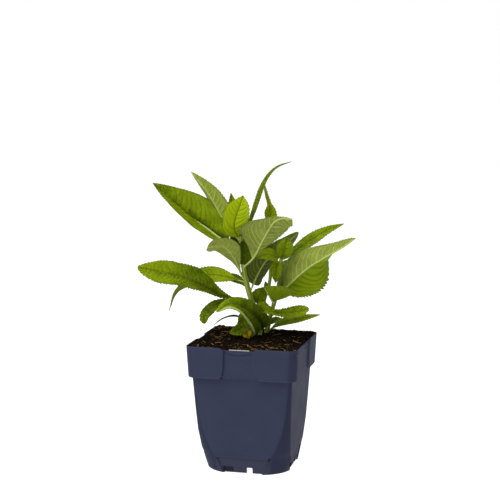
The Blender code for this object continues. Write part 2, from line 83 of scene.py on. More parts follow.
# The arched groove under the rim: how far it hangs below the ring that carries it, and how deep it is
ARCH_DROP = 3.2 * MM
ARCH_DEPTH = 0.7 * MM
BODY_TOP_HALF = 49.9 * MM
CREASE_Z = 15.8 * MM
CREASE_RUN = 0.4 * MM
FOOT_INSET = 0.9 * MM
FOOT_LIFT = 0.7 * MM
FLOOR_Z = 8 * MM
PAD_HALF = 18 * MM
PAD_FLARE = 3 * MM
PAD_CORNER = 6 * MM
# The middle part of each side lies between two marks: half its width at the foot, at the crease, at the
# lip, on the pad and on the floor, and how softly it begins
FOOT_MARK = 19 * MM
CREASE_MARK = 26.5 * MM
LIP_MARK = 16.5 * MM
PAD_MARK = 8 * MM
FLOOR_MARK = 16 * MM
MARK_RAMP = 0.8 * MM
CORNER_STEPS = 14
CORNER_CREASE = math.radians(15)
FLAT_STEPS = 12
RECESS_STEPS = 20
# Along a side, places grow closer towards its marks by this power, and sit at these shares of a ramp
CLOSER_TO_MARKS = 1.6
RAMP_PLACES = (-1, -0.45, 0, 0.45, 1)
# Rings of the lip, in millimetres under the rim: below the groove, across it with their share of its
# depth, above it with their share of its arch, and inside the lip
LIP_RINGS = (29, 27.5, 26, 23, 20, 17, 14, 11, 8.5, 6.5, 5, 4, 3.2, 2.6, 2.15, 1.8)
GROOVE_RINGS = ((1.6, 0.6), (1.45, 1), (1.3, 0.6), (1.15, 0))
RINGS_OVER_GROOVE = ((0.9, 0.5), (0.7, 0.2))
INNER_LIP_RINGS = (18, 10, 6, 4, 2.5, 1.2)
# The scoop and the arch grow from this depth under the rim, and are full at these
SCOOP_STARTS = 14
SCOOP_FULL = 3
ARCH_FULL = 1
# Bends that stay crisp, in degrees: all above the first, and upright ones between the other two, which
# are the creases beside the rounded corners
CRISP_BEND = 38
CORNER_BENDS = (6.5, 16)
UPRIGHT = 0.9
# The painted shade of the rounded corners fades in over this width
PAINTED_CORNER_SHADE_RAMP = 2 * MM

# Body sections between the crease and the lip: height, half width and corner radius
BODY_SECTIONS = (
    (CREASE_Z, 44.3 * MM, 18.5 * MM),
    (22 * MM, 45.4 * MM, 15.2 * MM),
    (42 * MM, 46.9 * MM, 8.5 * MM),
    (62 * MM, 47.9 * MM, 5.5 * MM),
    (LIP_BOTTOM_Z, BODY_TOP_HALF, 3.5 * MM),
)
BODY_RINGS = 24
FOOT_HALF = 42 * MM
FOOT_CORNER = 22.5 * MM

# Openings at the foot of each side: place along the side, bottom, width and height
SLOT = (-15 * MM, 2 * MM, 10.6 * MM, 4.8 * MM)
NOTCH = (6.4 * MM, -1 * MM, 6 * MM, 7.4 * MM)
OPENING_CUT_DEPTH = 12 * MM
OPENING_ROUND = 0.9 * MM
# The short rib that hangs under the floor behind each slot: how far behind its wall, how much wider than
# the slot, and how far off the ground
RIB_BEHIND_SLOT = 2.6 * MM
RIB_SPARE = 5 * MM
RIB_OFF_GROUND = 0.6 * MM
DRAIN_PLACE = 24 * MM
DRAIN_RADIUS = 4 * MM
DRAIN_CUT = (FLOOR_Z - 2 * MM, FLOOR_Z + 3 * MM)
CUTTER_SIDES = 32

# Soil and label
# The peat is heaped over the rim at the left and the back, and is lower at the front and the right
SOIL_Z = 125.9 * MM
SOIL_TILT = (-1.8 * MM, 2 * MM)
SOIL_OVER_RIM = 1.3 * MM
SOIL_MOUND = 2.6 * MM
SOIL_MOUND_CENTRE = (4 * MM, 14 * MM)
SOIL_LOW_FRONT = 1.1 * MM
SOIL_WALL_Z = 120 * MM
SOIL_RELIEF = 0.8 * MM
SOIL_LUMPS_PER_METRE = 95
SOIL_RINGS = 56
SOIL_CLODS_PER_METRE = 330
SOIL_CLOD_RELIEF = 1.3 * MM
# The soil's places, each with where it begins and where it is full: lower at the front, held under the
# rim beside the wall and under the rim's scoops, and heaped over the rim towards the back left
SOIL_FRONT = (-30 * MM, -48 * MM)
SOIL_BESIDE_WALL = (47 * MM, 52 * MM)
SOIL_AT_SCOOP = (23 * MM, 15 * MM)
SOIL_HEAPED = (-15 * MM, 25 * MM)
# How far under the rim it is held, and how far out, to the front or the right, the scoops' places start
SOIL_UNDER_RIM = 0.4 * MM
SOIL_SCOOPS_FROM = 40 * MM
# What is strewn on the soil: how far from the lip it stays, the stems' place, round which it thins out,
# its usual and least amounts, and the strip behind each recess, which stays bare
STREWN_OFF_LIP = 1.4 * MM
STREWN_STEPS = 96
STEMS_PLACE = (2 * MM, 6 * MM)
STEMS_CLEARING = (6 * MM, 30 * MM)
STREWN_DRIFTS_PER_METRE = 55
STREWN_USUAL = 0.75
STREWN_LEAST = 0.05
BARE_STRIP = 49.5 * MM
BARE_STRIP_HALF = 24 * MM
LABEL_WIDTH = 21.7 * MM
LABEL_LENGTH = 70 * MM
LABEL_THICKNESS = 0.8 * MM
LABEL_EDGE = 0.12 * MM
LABEL_POINT = 12 * MM
LABEL_POINT_HALF = 3 * MM
LABEL_CORNER = 1.6 * MM
LABEL_TOP = Vector((-2.3 * MM, -49.4 * MM, 124.7 * MM))
LABEL_LEAN = math.radians(4.9)

# The plant, in millimetres. Its frame is turned about Z against the pot and starts just above the ground
PLANT_TURN = math.radians(13.7)
PLANT_ZERO_Z = 2 * MM
# How far under its first point a stem ends in the soil and has its next ring, how far apart the rings of
# stems and ribs are, and to what share of its thin end's radius a stem's tip narrows
STEM_IN_SOIL = 25
STEM_FOOT = 2
STEM_STEP = 3
STEM_END = 0.3
# A leaf's stalk: its share of the leaf's length, its half width, and where along it the mesh has rows
PETIOLE = 0.12
PETIOLE_HALF = 1.0
PETIOLE_ROWS = (0.3, 0.6, 0.8, 1.0)
# A blade's half width at its tip, half its thickness, the steps across its mesh, those in which its slope
# is summed, and the bend from which an edge stays crisp
TIP_HALF = 0.4
BLADE_HALF_THICKNESS = 0.3
ACROSS_STEPS = 12
SLOPE_STEPS = 40
BLADE_CRISP_BEND = math.radians(55)

# Finer forms of the leaves and stems, in millimetres. Where in its pitch a tooth has its rows, and where
# its point is; the leaf's margin is cut by this much at most. A tooth's sides belly out more the further
# its last value is under 1
TOOTH_PITCH = 3.4
TOOTH_DEPTH = 0.5
TOOTH_POINT = 0.8
TOOTH_PHASES = (0, 0.3, 0.6, 0.8, 0.9)
TOOTH_SIZES = (0.1, 1.4)
TOOTH_BELLY = 0.8
# Half widths from which a blade's teeth, quilting and waves are full
FULL_TEETH = 5
FULL_QUILT = 11
FULL_WAVE = 14
# Side veins: their distance along the rib, which grows with the leaf, and how they run forward from it
VEIN_PITCH = 3.2
VEIN_PITCH_PER_WIDTH = 0.07
VEIN_LEAN = 0.35
VEIN_BEND = 0.8
VEIN_IRREGULAR = 0.6
VEIN_OFFSET = 0.22
STEEP_AT_RIB = 1.6
LEVEL_AT_MARGIN = 0.4
QUILT_DEPTH = 0.42
RIB_GROOVE = 0.3
RIB_GROOVE_REACH = 0.9
# A painted shade darkens the fold beside the rib, at this distance from it and this far to both sides
PAINTED_FOLD_SHADE_PLACE = 1.5
PAINTED_FOLD_SHADE_REACH = 3
# How far a side vein runs straight before it wanders, and how long the margin's waves are
VEIN_STRAIGHT = 9
WAVE_LENGTH = 17
SHORT_WAVE_LENGTH = 6
SHORT_WAVE = 0.4
MARGIN_WAVE = 1.0
# A margin that curls more than this, in degrees, starts to show its underside, and at twice as much does
ROLLED_CURL = 80
# Stems, and the ribs that stand out under the blades
RIB_RADIUS = 1.05
STALK_SIDES = 24
STEM_RIDGES = 4
STEM_RIDGE_HEIGHT = 0.08
# A stem swells by this share where a leaf leaves it, and this far above and below
NODE_SWELLING = 0.22
NODE_REACH = 3.5
# The rib thins to its tip by this share and stops just before it. In leaves narrower than this it is
# thinner, down to this share
RIB_THINS = 0.8
RIB_ENDS = 0.97
FULL_RIB_WIDTH = 40
NARROW_LEAF_RIB = 0.55
# The rib's middle hangs under the blade by this share of its radius and this much more. Where it shows on
# the upper face as well, it is raised and swollen by these shares, and sinks again from this place on
RIB_HANGS = 0.85
RIB_HANGS_MORE = 0.25
RIB_RAISED = 1.5
RIB_SWOLLEN = 1.1
RIB_SINKS_FROM = 0.6
RIB_RIDGES = 3
RIB_RIDGE_HEIGHT = 0.04

# Studio: the white surround as the camera sees it and as a light, and the floor's own glow, which keeps
# it white under the pot. Then each light's name, place, size and power, and the point that all look at
SURROUND_WHITE = 1.0
SURROUND_LIGHT = 0.3
FLOOR_GLOW = 0.97
PANELS = (
    ("overhead softbox", (-0.7, -0.9, 2.1), 2.0, 66),
    ("front panel", (-0.5, -2.4, 0.7), 1.2, 6),
)
PANEL_AIM = (0, 0, 0.15)
STAGE_HALF = 6

Stem = namedtuple("Stem", "path thick thin")
# One half of a blade. Its numbers are given at even places along the leaf: its width as a share of the
# leaf's own half width, how steeply it rises beside the rib and at the margin in degrees, and how far the
# margin's last part curls up on top of that. Then how toothed its margin is, how much painted backlight
# gives it a fuller green, as where light shines through, and how dark the painted shade is in the fold
# beside the rib
Half = namedtuple("Half", "widths rib margin curl teeth lit fold_green",
                  defaults=((1,), None, None, (0,), 1, 0, (0,)))
# Path from the stem to the tip, full width, where the upper face looks at even places along the path,
# how far the halves fold up in degrees, the widest place as a share of length, how full the shape is,
# the left and right halves where they differ, seen from above with the tip ahead, and the share of its
# length over which the rib stands out on the upper face as well. Then how young the leaf is at even places
# along it, which also paints its shade: 0 is full-grown green, 1 is the bright green of new growth, and -1
# the deep green of old growth together with painted shade low inside the plant
Leaf = namedtuple("Leaf", "path width faces fold widest full left right rib_over youth",
                  defaults=(0.4, 0.85, Half(), Half(), 0, (0,)))

VIEWER = ((0, -1, 0.2),)
SKY = ((0, 0, 1),)

TALL_STEM = Stem(((-1.6, 8, 124), (-1.6, 6, 158.5), (-6, 4, 178.5), (-10.5, 2, 202), (-12.5, 0, 227)),
                 2.8, 1.6)
TALL_LEAVES = (
    # The long low leaf on the left and the drooping one behind it
    Leaf(((-3, 6, 160), (-29, 0, 169), (-48, -6, 180.5), (-71, -12, 190.5), (-95, -16, 196),
          (-113.5, -19, 200)), 22, ((0.1, -0.7, 0.7), (0.1, -0.95, 0.3)), 6, 0.62, 0.55,
         Half((0.7, 1, 1, 1, 1.05, 1.3, 1.3), teeth=1.3, fold_green=(0.6, 0.5, 0.4, 0.2)),
         Half((0.5, 0.7, 1, 1.45, 1.15, 1.15, 0.8), curl=(0, -30, -30, 0), teeth=1.3),
         youth=(0.2, 0, -0.3, -0.3, 0.1, 0.4, 0.5)),
    Leaf(((-6.5, 4, 181), (-24.3, 8, 185.9), (-40.4, 12, 187.9), (-56.6, 14, 185.4), (-69.8, 15, 176.6),
          (-79, 15, 166.9), (-85.1, 14, 150.7)),
         20, ((0, -0.85, 0.5), (0, -0.85, 0.5), (-0.5, -0.5, 0.6), (-0.8, -0.25, 0.5), (-0.95, -0.12, 0.2)),
         8, 0.42, 0.8, youth=(0.1, 0.5, 0.5, 0.1, -0.5, -0.6, -0.6)),
    # The dark leaf that climbs behind to the right
    Leaf(((-3.5, 5, 170), (3.4, 11, 187), (14, 17, 203), (32, 24, 217.5), (46, 28, 229.5)),
         23, ((-0.3, 0.85, 0.4), (-0.4, 0.8, 0.5)), 10, 0.36, 0.6, Half((2.2, 1, 1.05, 1.3, 1.8), lit=0.5),
         Half((3.2, 1.7, 1.15, 1, 1), lit=0.5), youth=(-0.9, -0.8, -0.3)),
    # The leaf that comes forward on the left, seen from below
    Leaf(((-8.2, 4, 182.8), (-13.2, 0, 193.4), (-18, -8, 206.5), (-26.6, -24, 219.5), (-35.5, -35, 223),
          (-44, -43, 222)), 27, ((0.2, 0.6, 0.8), (0, 0.6, 0.75), (0, 0.8, 0.5)), 4, 0.7, 0.3,
         Half((0.2, 0.32, 0.72, 1, 0.95, 0.75), teeth=0.3),
         Half((0.2, 0.35, 0.8, 0.95, 0.9, 0.65), teeth=0.3), youth=(0, 0.1)),
    # The big leaf that comes forward on the right, seen from below, and turns its tip to the side
    Leaf(((-10.2, 2, 196.2), (0.7, -10, 208.7), (7.5, -20, 222.8), (12.8, -28, 233.4), (17, -35, 241.4),
          (21.7, -40, 247.3), (29, -46.5, 250.3), (37, -51.5, 249.8)), 48,
         ((0.28, 0.86, 0.43), (0.28, 0.86, 0.43), (0.35, 0.85, 0.4), (0.5, 0.8, 0.33), (0.55, 0.83, 0.05)),
         20, 0.5, 0.15,
         Half((0.04, 0.04, 0.04, 0.12, 0.25, 0.4, 0.52, 0.6, 0.63, 0.58, 0.45), (20,), (12,), teeth=2.2),
         Half((0.04, 0.04, 0.1, 0.52, 1.13, 1.03, 0.76, 0.44, 0.17, 0.08, 0.05), (14,), (8,), teeth=0.8),
         youth=(-0.2,)),
    # The big leaf at the upper left and the pale one in front of it
    Leaf(((-13.2, 2, 214), (-33.7, 8, 225.3), (-44.8, 13, 233.1), (-57.4, 16, 242.4), (-73.5, 18, 255.8),
          (-100.8, 18, 279.9)), 46, ((0.2, -0.88, 0.38),), 28, 0.4, 0.85,
         Half((0.7, 0.68, 0.7, 0.75, 0.83, 0.85), (52,), (38,)),
         Half((1.2, 1.2, 1.14, 1.08, 1.02, 1), (68, 68, 62, 45, 25, 14, 14), (4,), (0,), 0.5, 0,
              (1.3, 1.3, 1.1, 0.7, 0.4, 0.2, 0)), 0.55, youth=(0, 0.2, 0.3, 0.1)),
    Leaf(((-12.5, 1, 222), (-29, 8, 243.5), (-44, 10, 269), (-62, 8, 292)), 25, ((0.42, 0.8, 0.4),), 30,
         youth=(0.5,)),
    # The bright young leaf at the top
    Leaf(((-12.5, 0, 223), (-18.5, -5, 236), (-17, -5, 248), (-13, -1.5, 259), (-10, 5, 268.5)),
         26, ((0, -1, 0.2), (0, -0.9, 0.4)), 8, 0.5, 0.95, Half((3, 1.7, 1.1, 1, 1, 1)),
         Half((3, 1.7, 1.1, 1, 1, 1)), youth=(0.8,)),
    # The sickle-shaped leaf seen on its edge
    Leaf(((-12, 0.5, 224), (-6, 4, 235.5), (-0.5, 7, 250), (4, 9, 263), (9, 11, 277), (16, 12, 289),
          (25, 13, 297), (38, 14, 301.5)), 10, ((-0.88, -0.38, 0.25), (-0.4, -0.4, 0.8)), 2, 0.34,
         youth=(-0.3,)),
    # Small leaves round the growing tip
    Leaf(((-12, 1.5, 224), (-18.5, 14, 247), (-22.5, 21, 270)), 14, VIEWER, 10, youth=(0.1,)),
    Leaf(((-11, 2, 214), (-6, 10, 232), (-1, 15, 245)), 10, VIEWER, 10, youth=(-0.3,)),
    Leaf(((-9, 0, 197), (-10, -3, 208), (-9.5, -5, 225)), 23, ((-0.3, -0.7, 0.6), (-0.1, -0.9, 0.3)), 16,
         youth=(-0.8,)),
    # Leaves on the far side
    Leaf(((-11, 2, 208), (-11, 20, 225), (-9, 44, 238)), 25, ((0, -0.5, 0.85), (0, -0.4, 0.9)), 8,
         youth=(-0.7,)),
    Leaf(((-5, 5, 176), (-22, 24, 183), (-44, 48, 182)), 16, ((0, -0.3, 0.95), (0, -0.5, 0.85)), 8,
         youth=(-0.2,)),
    # Low leaves: to the right across the next stem, to the left, and the one that hangs to the soil
    Leaf(((-4.4, 5, 158.6), (7, 0, 157.5), (17, -3, 153.4), (27, -5, 152.3), (41, -9, 153.6),
          (55.2, -12, 157.1)), 13, ((0.1, -0.7, 0.7), (0, -0.9, 0.4)), 6, 0.5, 0.5,
         Half((2, 2, 1.9, 1.1, 0.6, 0.5, 0.7, 0.95, 1.2, 1.4, 1.5), teeth=1.6),
         Half((2, 2, 1.8, 1.1, 0.6, 0.65, 0.9, 1.1, 1.15, 1.45, 1.2), teeth=1.6), youth=(-0.1, 0.1, 0.3)),
    Leaf(((-2, 7, 150), (-11.2, 7, 163.1), (-24.2, 4, 162.5), (-36.2, 0, 160.1), (-43.8, -2, 154.4),
          (-48.4, -5, 148.1), (-48.6, -7, 141.3)), 12.5, ((0, -0.7, 0.7), (-0.5, -0.8, 0.3)), 6, 0.78, 0.5,
         youth=(-0.7, -0.4, -0.1)),
    Leaf(((-1.6, 8, 136), (-7, 5, 145.6), (-10.5, 2, 147), (-9.5, 1, 140.2), (-12.5, -1, 134.8),
          (-24, -4, 131.2)), 14, ((0, -0.7, 0.7), (-0.5, -0.8, 0.2)), 6, 0.6, youth=(-0.7, -0.3, -0.4, 0.3)),
)

RIGHT_STEM = Stem(((13, 24, 124), (17, 20, 142), (21, 16, 158), (25.5, 12, 178), (27.4, 8, 201),
                   (30, 6, 209)), 2.1, 1.4)
RIGHT_LEAVES = (
    # The big leaf on the right, seen from below; the outer part of its lower half rolls up
    Leaf(((21.3, 15.5, 159.5), (33, 9, 175), (52, -4, 195), (66.5, -12, 206), (87, -20, 219),
          (100, -25, 229)), 52, ((0.1, 0.98, 0),), 18, 0.38, 0.8,
         Half((1, 1, 1, 0.97, 0.93), (0, 0, 0, 0, 0, 20, 70, 82, 85, 85, 85),
              (0, 0, 0, 0, 5, 32, 82, 88, 88, 88, 88), teeth=2.4, lit=1),
         Half((1, 1, 1, 0.98, 0.87, 0.76, 0.7, 0.64, 0.64, 0.72, 0.95), (36,), (28,), teeth=1.4),
         youth=(0.1,)),
    # The bright one above it
    Leaf(((28, 8, 203), (47, 16, 214.5), (61, 19, 224), (75.5, 22, 232), (92, 24, 238.5)),
         15, ((-0.3, -0.75, 0.6),), 10, youth=(-0.4, 0, 0.3, 0.3)),
    # The small upright leaf and its neighbours at the top
    Leaf(((27.6, 8, 201), (31, 1, 214), (34.5, 4, 227)), 18, VIEWER, 8, 0.5, youth=(0.1,)),
    Leaf(((26.5, 8.5, 200), (20, 3, 208), (12, 2, 209.5), (4, 3, 206)),
         17, ((0.1, -0.5, 0.85), (0, -0.7, 0.7)), 8, youth=(0.3,)),
    Leaf(((27.3, 8, 203), (23.5, 5, 199), (22.4, 3, 181)),
         13, ((-0.2, -0.8, 0.5), (-0.2, -1, 0.1)), 8, 0.34, youth=(0.3,)),
    # The leaf in front of the big one's base, which comes forward and shows its underside
    Leaf(((21.1, 15, 158.7), (17.8, 0, 165.6), (14, -15, 174), (10.4, -30, 182.5)),
         50, ((0.05, 0.5, 0.85),), 10, 0.45, 0.7, Half(teeth=2, lit=1), Half((0.5,), (80,), (85,), lit=1),
         youth=(-0.1,)),
    # Low leaves near the soil
    Leaf(((13.6, 23.4, 128), (28, 16, 138), (46.5, 8, 143.5), (67.5, 2, 149)),
         13, ((0, -0.5, 0.85), (0, -0.6, 0.8)), 8, youth=(0.1, 0.4)),
    Leaf(((15, 22, 134), (24, 28, 140), (31, 34, 139)), 9, ((0, -0.3, 0.95),), 8, youth=(-0.2,)),
)

BACK_STEM = Stem(((3.4, 26, 123), (11.5, 27, 160), (16.6, 28, 177), (18.2, 28, 199), (15.7, 28, 222)),
                 1.9, 1.5)
BACK_LEAVES = (
    # The upright leaf that turns on its edge
    Leaf(((15.8, 28, 220), (17.7, 28, 239), (16.2, 28, 256), (13.2, 28, 267), (10.2, 26, 282)),
         14, (*5 * ((0, -1, 0.2),), (0.3, -0.9, 0.2), *5 * ((0.88, -0.45, 0.2),)), 6, 0.36, 0.85,
         Half((0.5, 0.5, 0.5, 0.6, 0.8, 0.9, 0.8, 0.8, 0.9, 1, 1), teeth=1.6),
         Half((1.3, 1.3, 1.25, 1.1, 1, 0.9, 0.8, 0.8, 0.9, 1, 1)), youth=(0.7,)),
    # Leaves on the far side
    Leaf(((17.5, 28, 188), (38, 44, 194), (62, 56, 192)), 19, ((0, -0.2, 1), (0, -0.4, 0.9)), 8),
    Leaf(((17, 28, 211), (0, 44, 225), (-24, 62, 233)), 17, ((0, -0.2, 1), (0, -0.4, 0.9)), 8),
    # The thin dark leaf low on the left
    Leaf(((5, 26, 129), (-11.4, 24, 141.8), (-21.5, 22, 144.2), (-31.8, 24, 140.9), (-40, 24, 134.5)),
         10, SKY, 6, youth=(-0.9,)),
)

FRONT_STEM = Stem(((6.5, 10, 124), (6, 11, 142), (5.5, 12, 158)), 1.6, 1.1)
FRONT_LEAVES = (
    # The big arching leaf in front, broad at its base, with its lower margin curled up
    Leaf(((7, 10, 125), (8.9, 8, 131.1), (7.8, 2, 138.5), (3.8, -5, 146), (-2.2, -11, 153.2),
          (-9.1, -15, 159), (-17, -18, 162.6), (-25.8, -19, 162.3), (-36.4, -19, 155.4)),
         22, ((0.5, -0.85, -0.15), (0.3, -0.9, 0), (0, -0.85, 0.4), (-0.2, -0.7, 0.65)), 4, 0.24, 0.5,
         Half((1.2, 1.4, 1.5, 1.5, 1.25), (6,), (0, 8, 25, 42, 42, 25),
              (40, 100, 180, 240, 250, 230, 120), 0.3),
         Half((1,), (10,), (0,), fold_green=(0.5, 0.5, 0.3, 0)), youth=(-0.5, -0.5, -0.5, -0.2, 0.2, 0.4)),
    # The upright one behind the others
    Leaf(((3.9, 12, 156.1), (5.9, 12, 165.3), (11.9, 11, 175.7)), 16, ((-0.2, -0.9, 0.3),), 10),
)

OLD_LEAF_STEM = Stem(((-4.2, 0.5, 123), (-4.5, 0.2, 127)), 1.1, 0.9)
OLD_LEAF = (
    Leaf(((-4.5, 0.2, 125.5), (-6, -1.5, 129.5), (-7.5, -2.5, 135)), 10, VIEWER, 6, 0.5, 0.6, youth=(1,)),
)

# What a blade's skin needs to know at each point: the side vein it lies on or between, how far it is from
# the rib in millimetres and as a share of the way to the margin, how much painted backlight it gets, how
# young it is together with its painted shade, and how far it has rolled over, which paints it pale with a
# highlight
SKIN_VALUES = ("vein_phase", "from_rib", "side", "lit", "youth", "rolled_with_painted_highlight")

# The colours that make up a leaf's skin: the deep green of old growth, which also paints shade, two shades
# of full-grown green, new growth, the painted backlight, the veins, the veins darkened by painted shade
# where backlight is painted, and the margin
SkinColours = namedtuple("SkinColours", "deep dark mid young lit vein vein_lit edge")
UPPER_GREENS = SkinColours(
    "#2a3602", "#506202", "#70840a", "#9aac08", "#6a7e04", "#384601", "#384601", "#33381a")
UNDER_GREENS = SkinColours(
    "#444f1a", "#6c782a", "#848f3a", "#8e9c2a", "#788c06", "#b8c67a", "#3e4e00", "#50543c")
UPPER_YELLOWS = SkinColours(
    "#b09010", "#d0ac10", "#e6c41c", "#ecca20", "#e6c41c", "#8a6a10", "#8a6a10", "#7a5a14")
UNDER_YELLOWS = SkinColours(
    "#a09030", "#b09a3a", "#c4ac4a", "#c8b050", "#c8a92a", "#d8c880", "#d8c880", "#7a5a14")

# Camera: turn and rise against the pot's front, distance, where it aims, and focal length on 36 mm film
CAMERA_TURN = math.radians(13.72)
CAMERA_RISE = math.radians(6.79)
CAMERA_DISTANCE = 1.2331
CAMERA_AIM_RIGHT = -0.0032
CAMERA_AIM_UP = 0.21648
CAMERA_LENS = 89.32


# Shared helpers

def linear(colour):
    """An sRGB hex colour as linear red, green, blue and alpha."""
    channels = []
    for i in (1, 3, 5):
        value = int(colour[i:i + 2], 16) / 255
        channels.append(value / 12.92 if value <= 0.04045 else ((value + 0.055) / 1.055) ** 2.4)
    return (*channels, 1)


def fill(filled, inputs):
    """Fill or link a node's input sockets.

    A hex colour is turned to linear, and a node given as a value stands for its first output in use.
    """
    for key, value in inputs.items():
        if isinstance(value, bpy.types.Node):
            value = next(socket for socket in value.outputs if socket.enabled)
        if isinstance(value, bpy.types.NodeSocket):
            filled.id_data.links.new(value, filled.inputs[key])
        elif isinstance(value, str) and value.startswith("#"):
            filled.inputs[key].default_value = linear(value)
        else:
            filled.inputs[key].default_value = value


def node(tree, kind, inputs=None, **settings):
    """Add a node, set its properties, and fill or link its inputs."""
    made = tree.nodes.new(kind)
    for name, value in settings.items():
        setattr(made, name, value)
    fill(made, inputs or {})
    return made


def blank_material(name):
    """A new material, how to add a node to it, and its skin."""
    material = bpy.data.materials.new(name)
    material.use_nodes = True
    tree = material.node_tree
    return material, partial(node, tree), tree.nodes["Principled BSDF"]


def node_group(name, sockets):
    """A new geometry tree: how to add a node to it, and its geometry and named inputs."""
    tree = bpy.data.node_groups.new(name, "GeometryNodeTree")
    tree.interface.new_socket("Geometry", in_out="INPUT", socket_type="NodeSocketGeometry")
    for title, kind in sockets.items():
        tree.interface.new_socket(title, in_out="INPUT", socket_type="NodeSocket" + kind)
    tree.interface.new_socket("Geometry", in_out="OUTPUT", socket_type="NodeSocketGeometry")
    return partial(node, tree), tree.nodes.new("NodeGroupInput").outputs


def end_group(add, given, shape):
    """End a geometry tree: real geometry in the given material."""
    real = add("GeometryNodeRealizeInstances", {0: shape})
    coated = add("GeometryNodeSetMaterial", {"Geometry": real, "Material": given["Material"]})
    return add("NodeGroupOutput", {0: coated}).id_data


def add_mesh_object(name, mesh, materials=()):
    for material in materials:
        mesh.materials.append(material)
    piece = bpy.data.objects.new(name, mesh)
    bpy.context.scene.collection.objects.link(piece)
    return piece


def mesh_from_bmesh(name, bm):
    mesh = bpy.data.meshes.new(name)
    bm.to_mesh(mesh)
    bm.free()
    return mesh


def store(mesh, name, values):
    """Keep a value for each point of a mesh."""
    mesh.attributes.new(name, "FLOAT", "POINT").data.foreach_set("value", values)


def keep_result(piece, modifier):
    """Make what the modifier gives the piece's own plain mesh."""
    depsgraph = bpy.context.evaluated_depsgraph_get()
    result = bpy.data.meshes.new_from_object(piece.evaluated_get(depsgraph), depsgraph=depsgraph)
    piece.modifiers.remove(modifier)
    old = piece.data
    piece.data = result
    bpy.data.meshes.remove(old)
    result.name = piece.name


def grow(piece, tree, values):
    """Run a geometry tree on a piece with its named inputs, and keep the result."""
    modifier = piece.modifiers.new(tree.name, "NODES")
    modifier.node_group = tree
    for socket in tree.interface.items_tree:
        if socket.in_out == "INPUT" and socket.name in values:
            modifier[socket.identifier] = values[socket.name]
    keep_result(piece, modifier)


def stand_for(piece, nodes, slot):
    """Tie a finished piece to the frame: it rides on the root and replaces nodes; the slot is not used."""
    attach(piece, "root")
    if nodes:
        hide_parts(*nodes)


# Materials

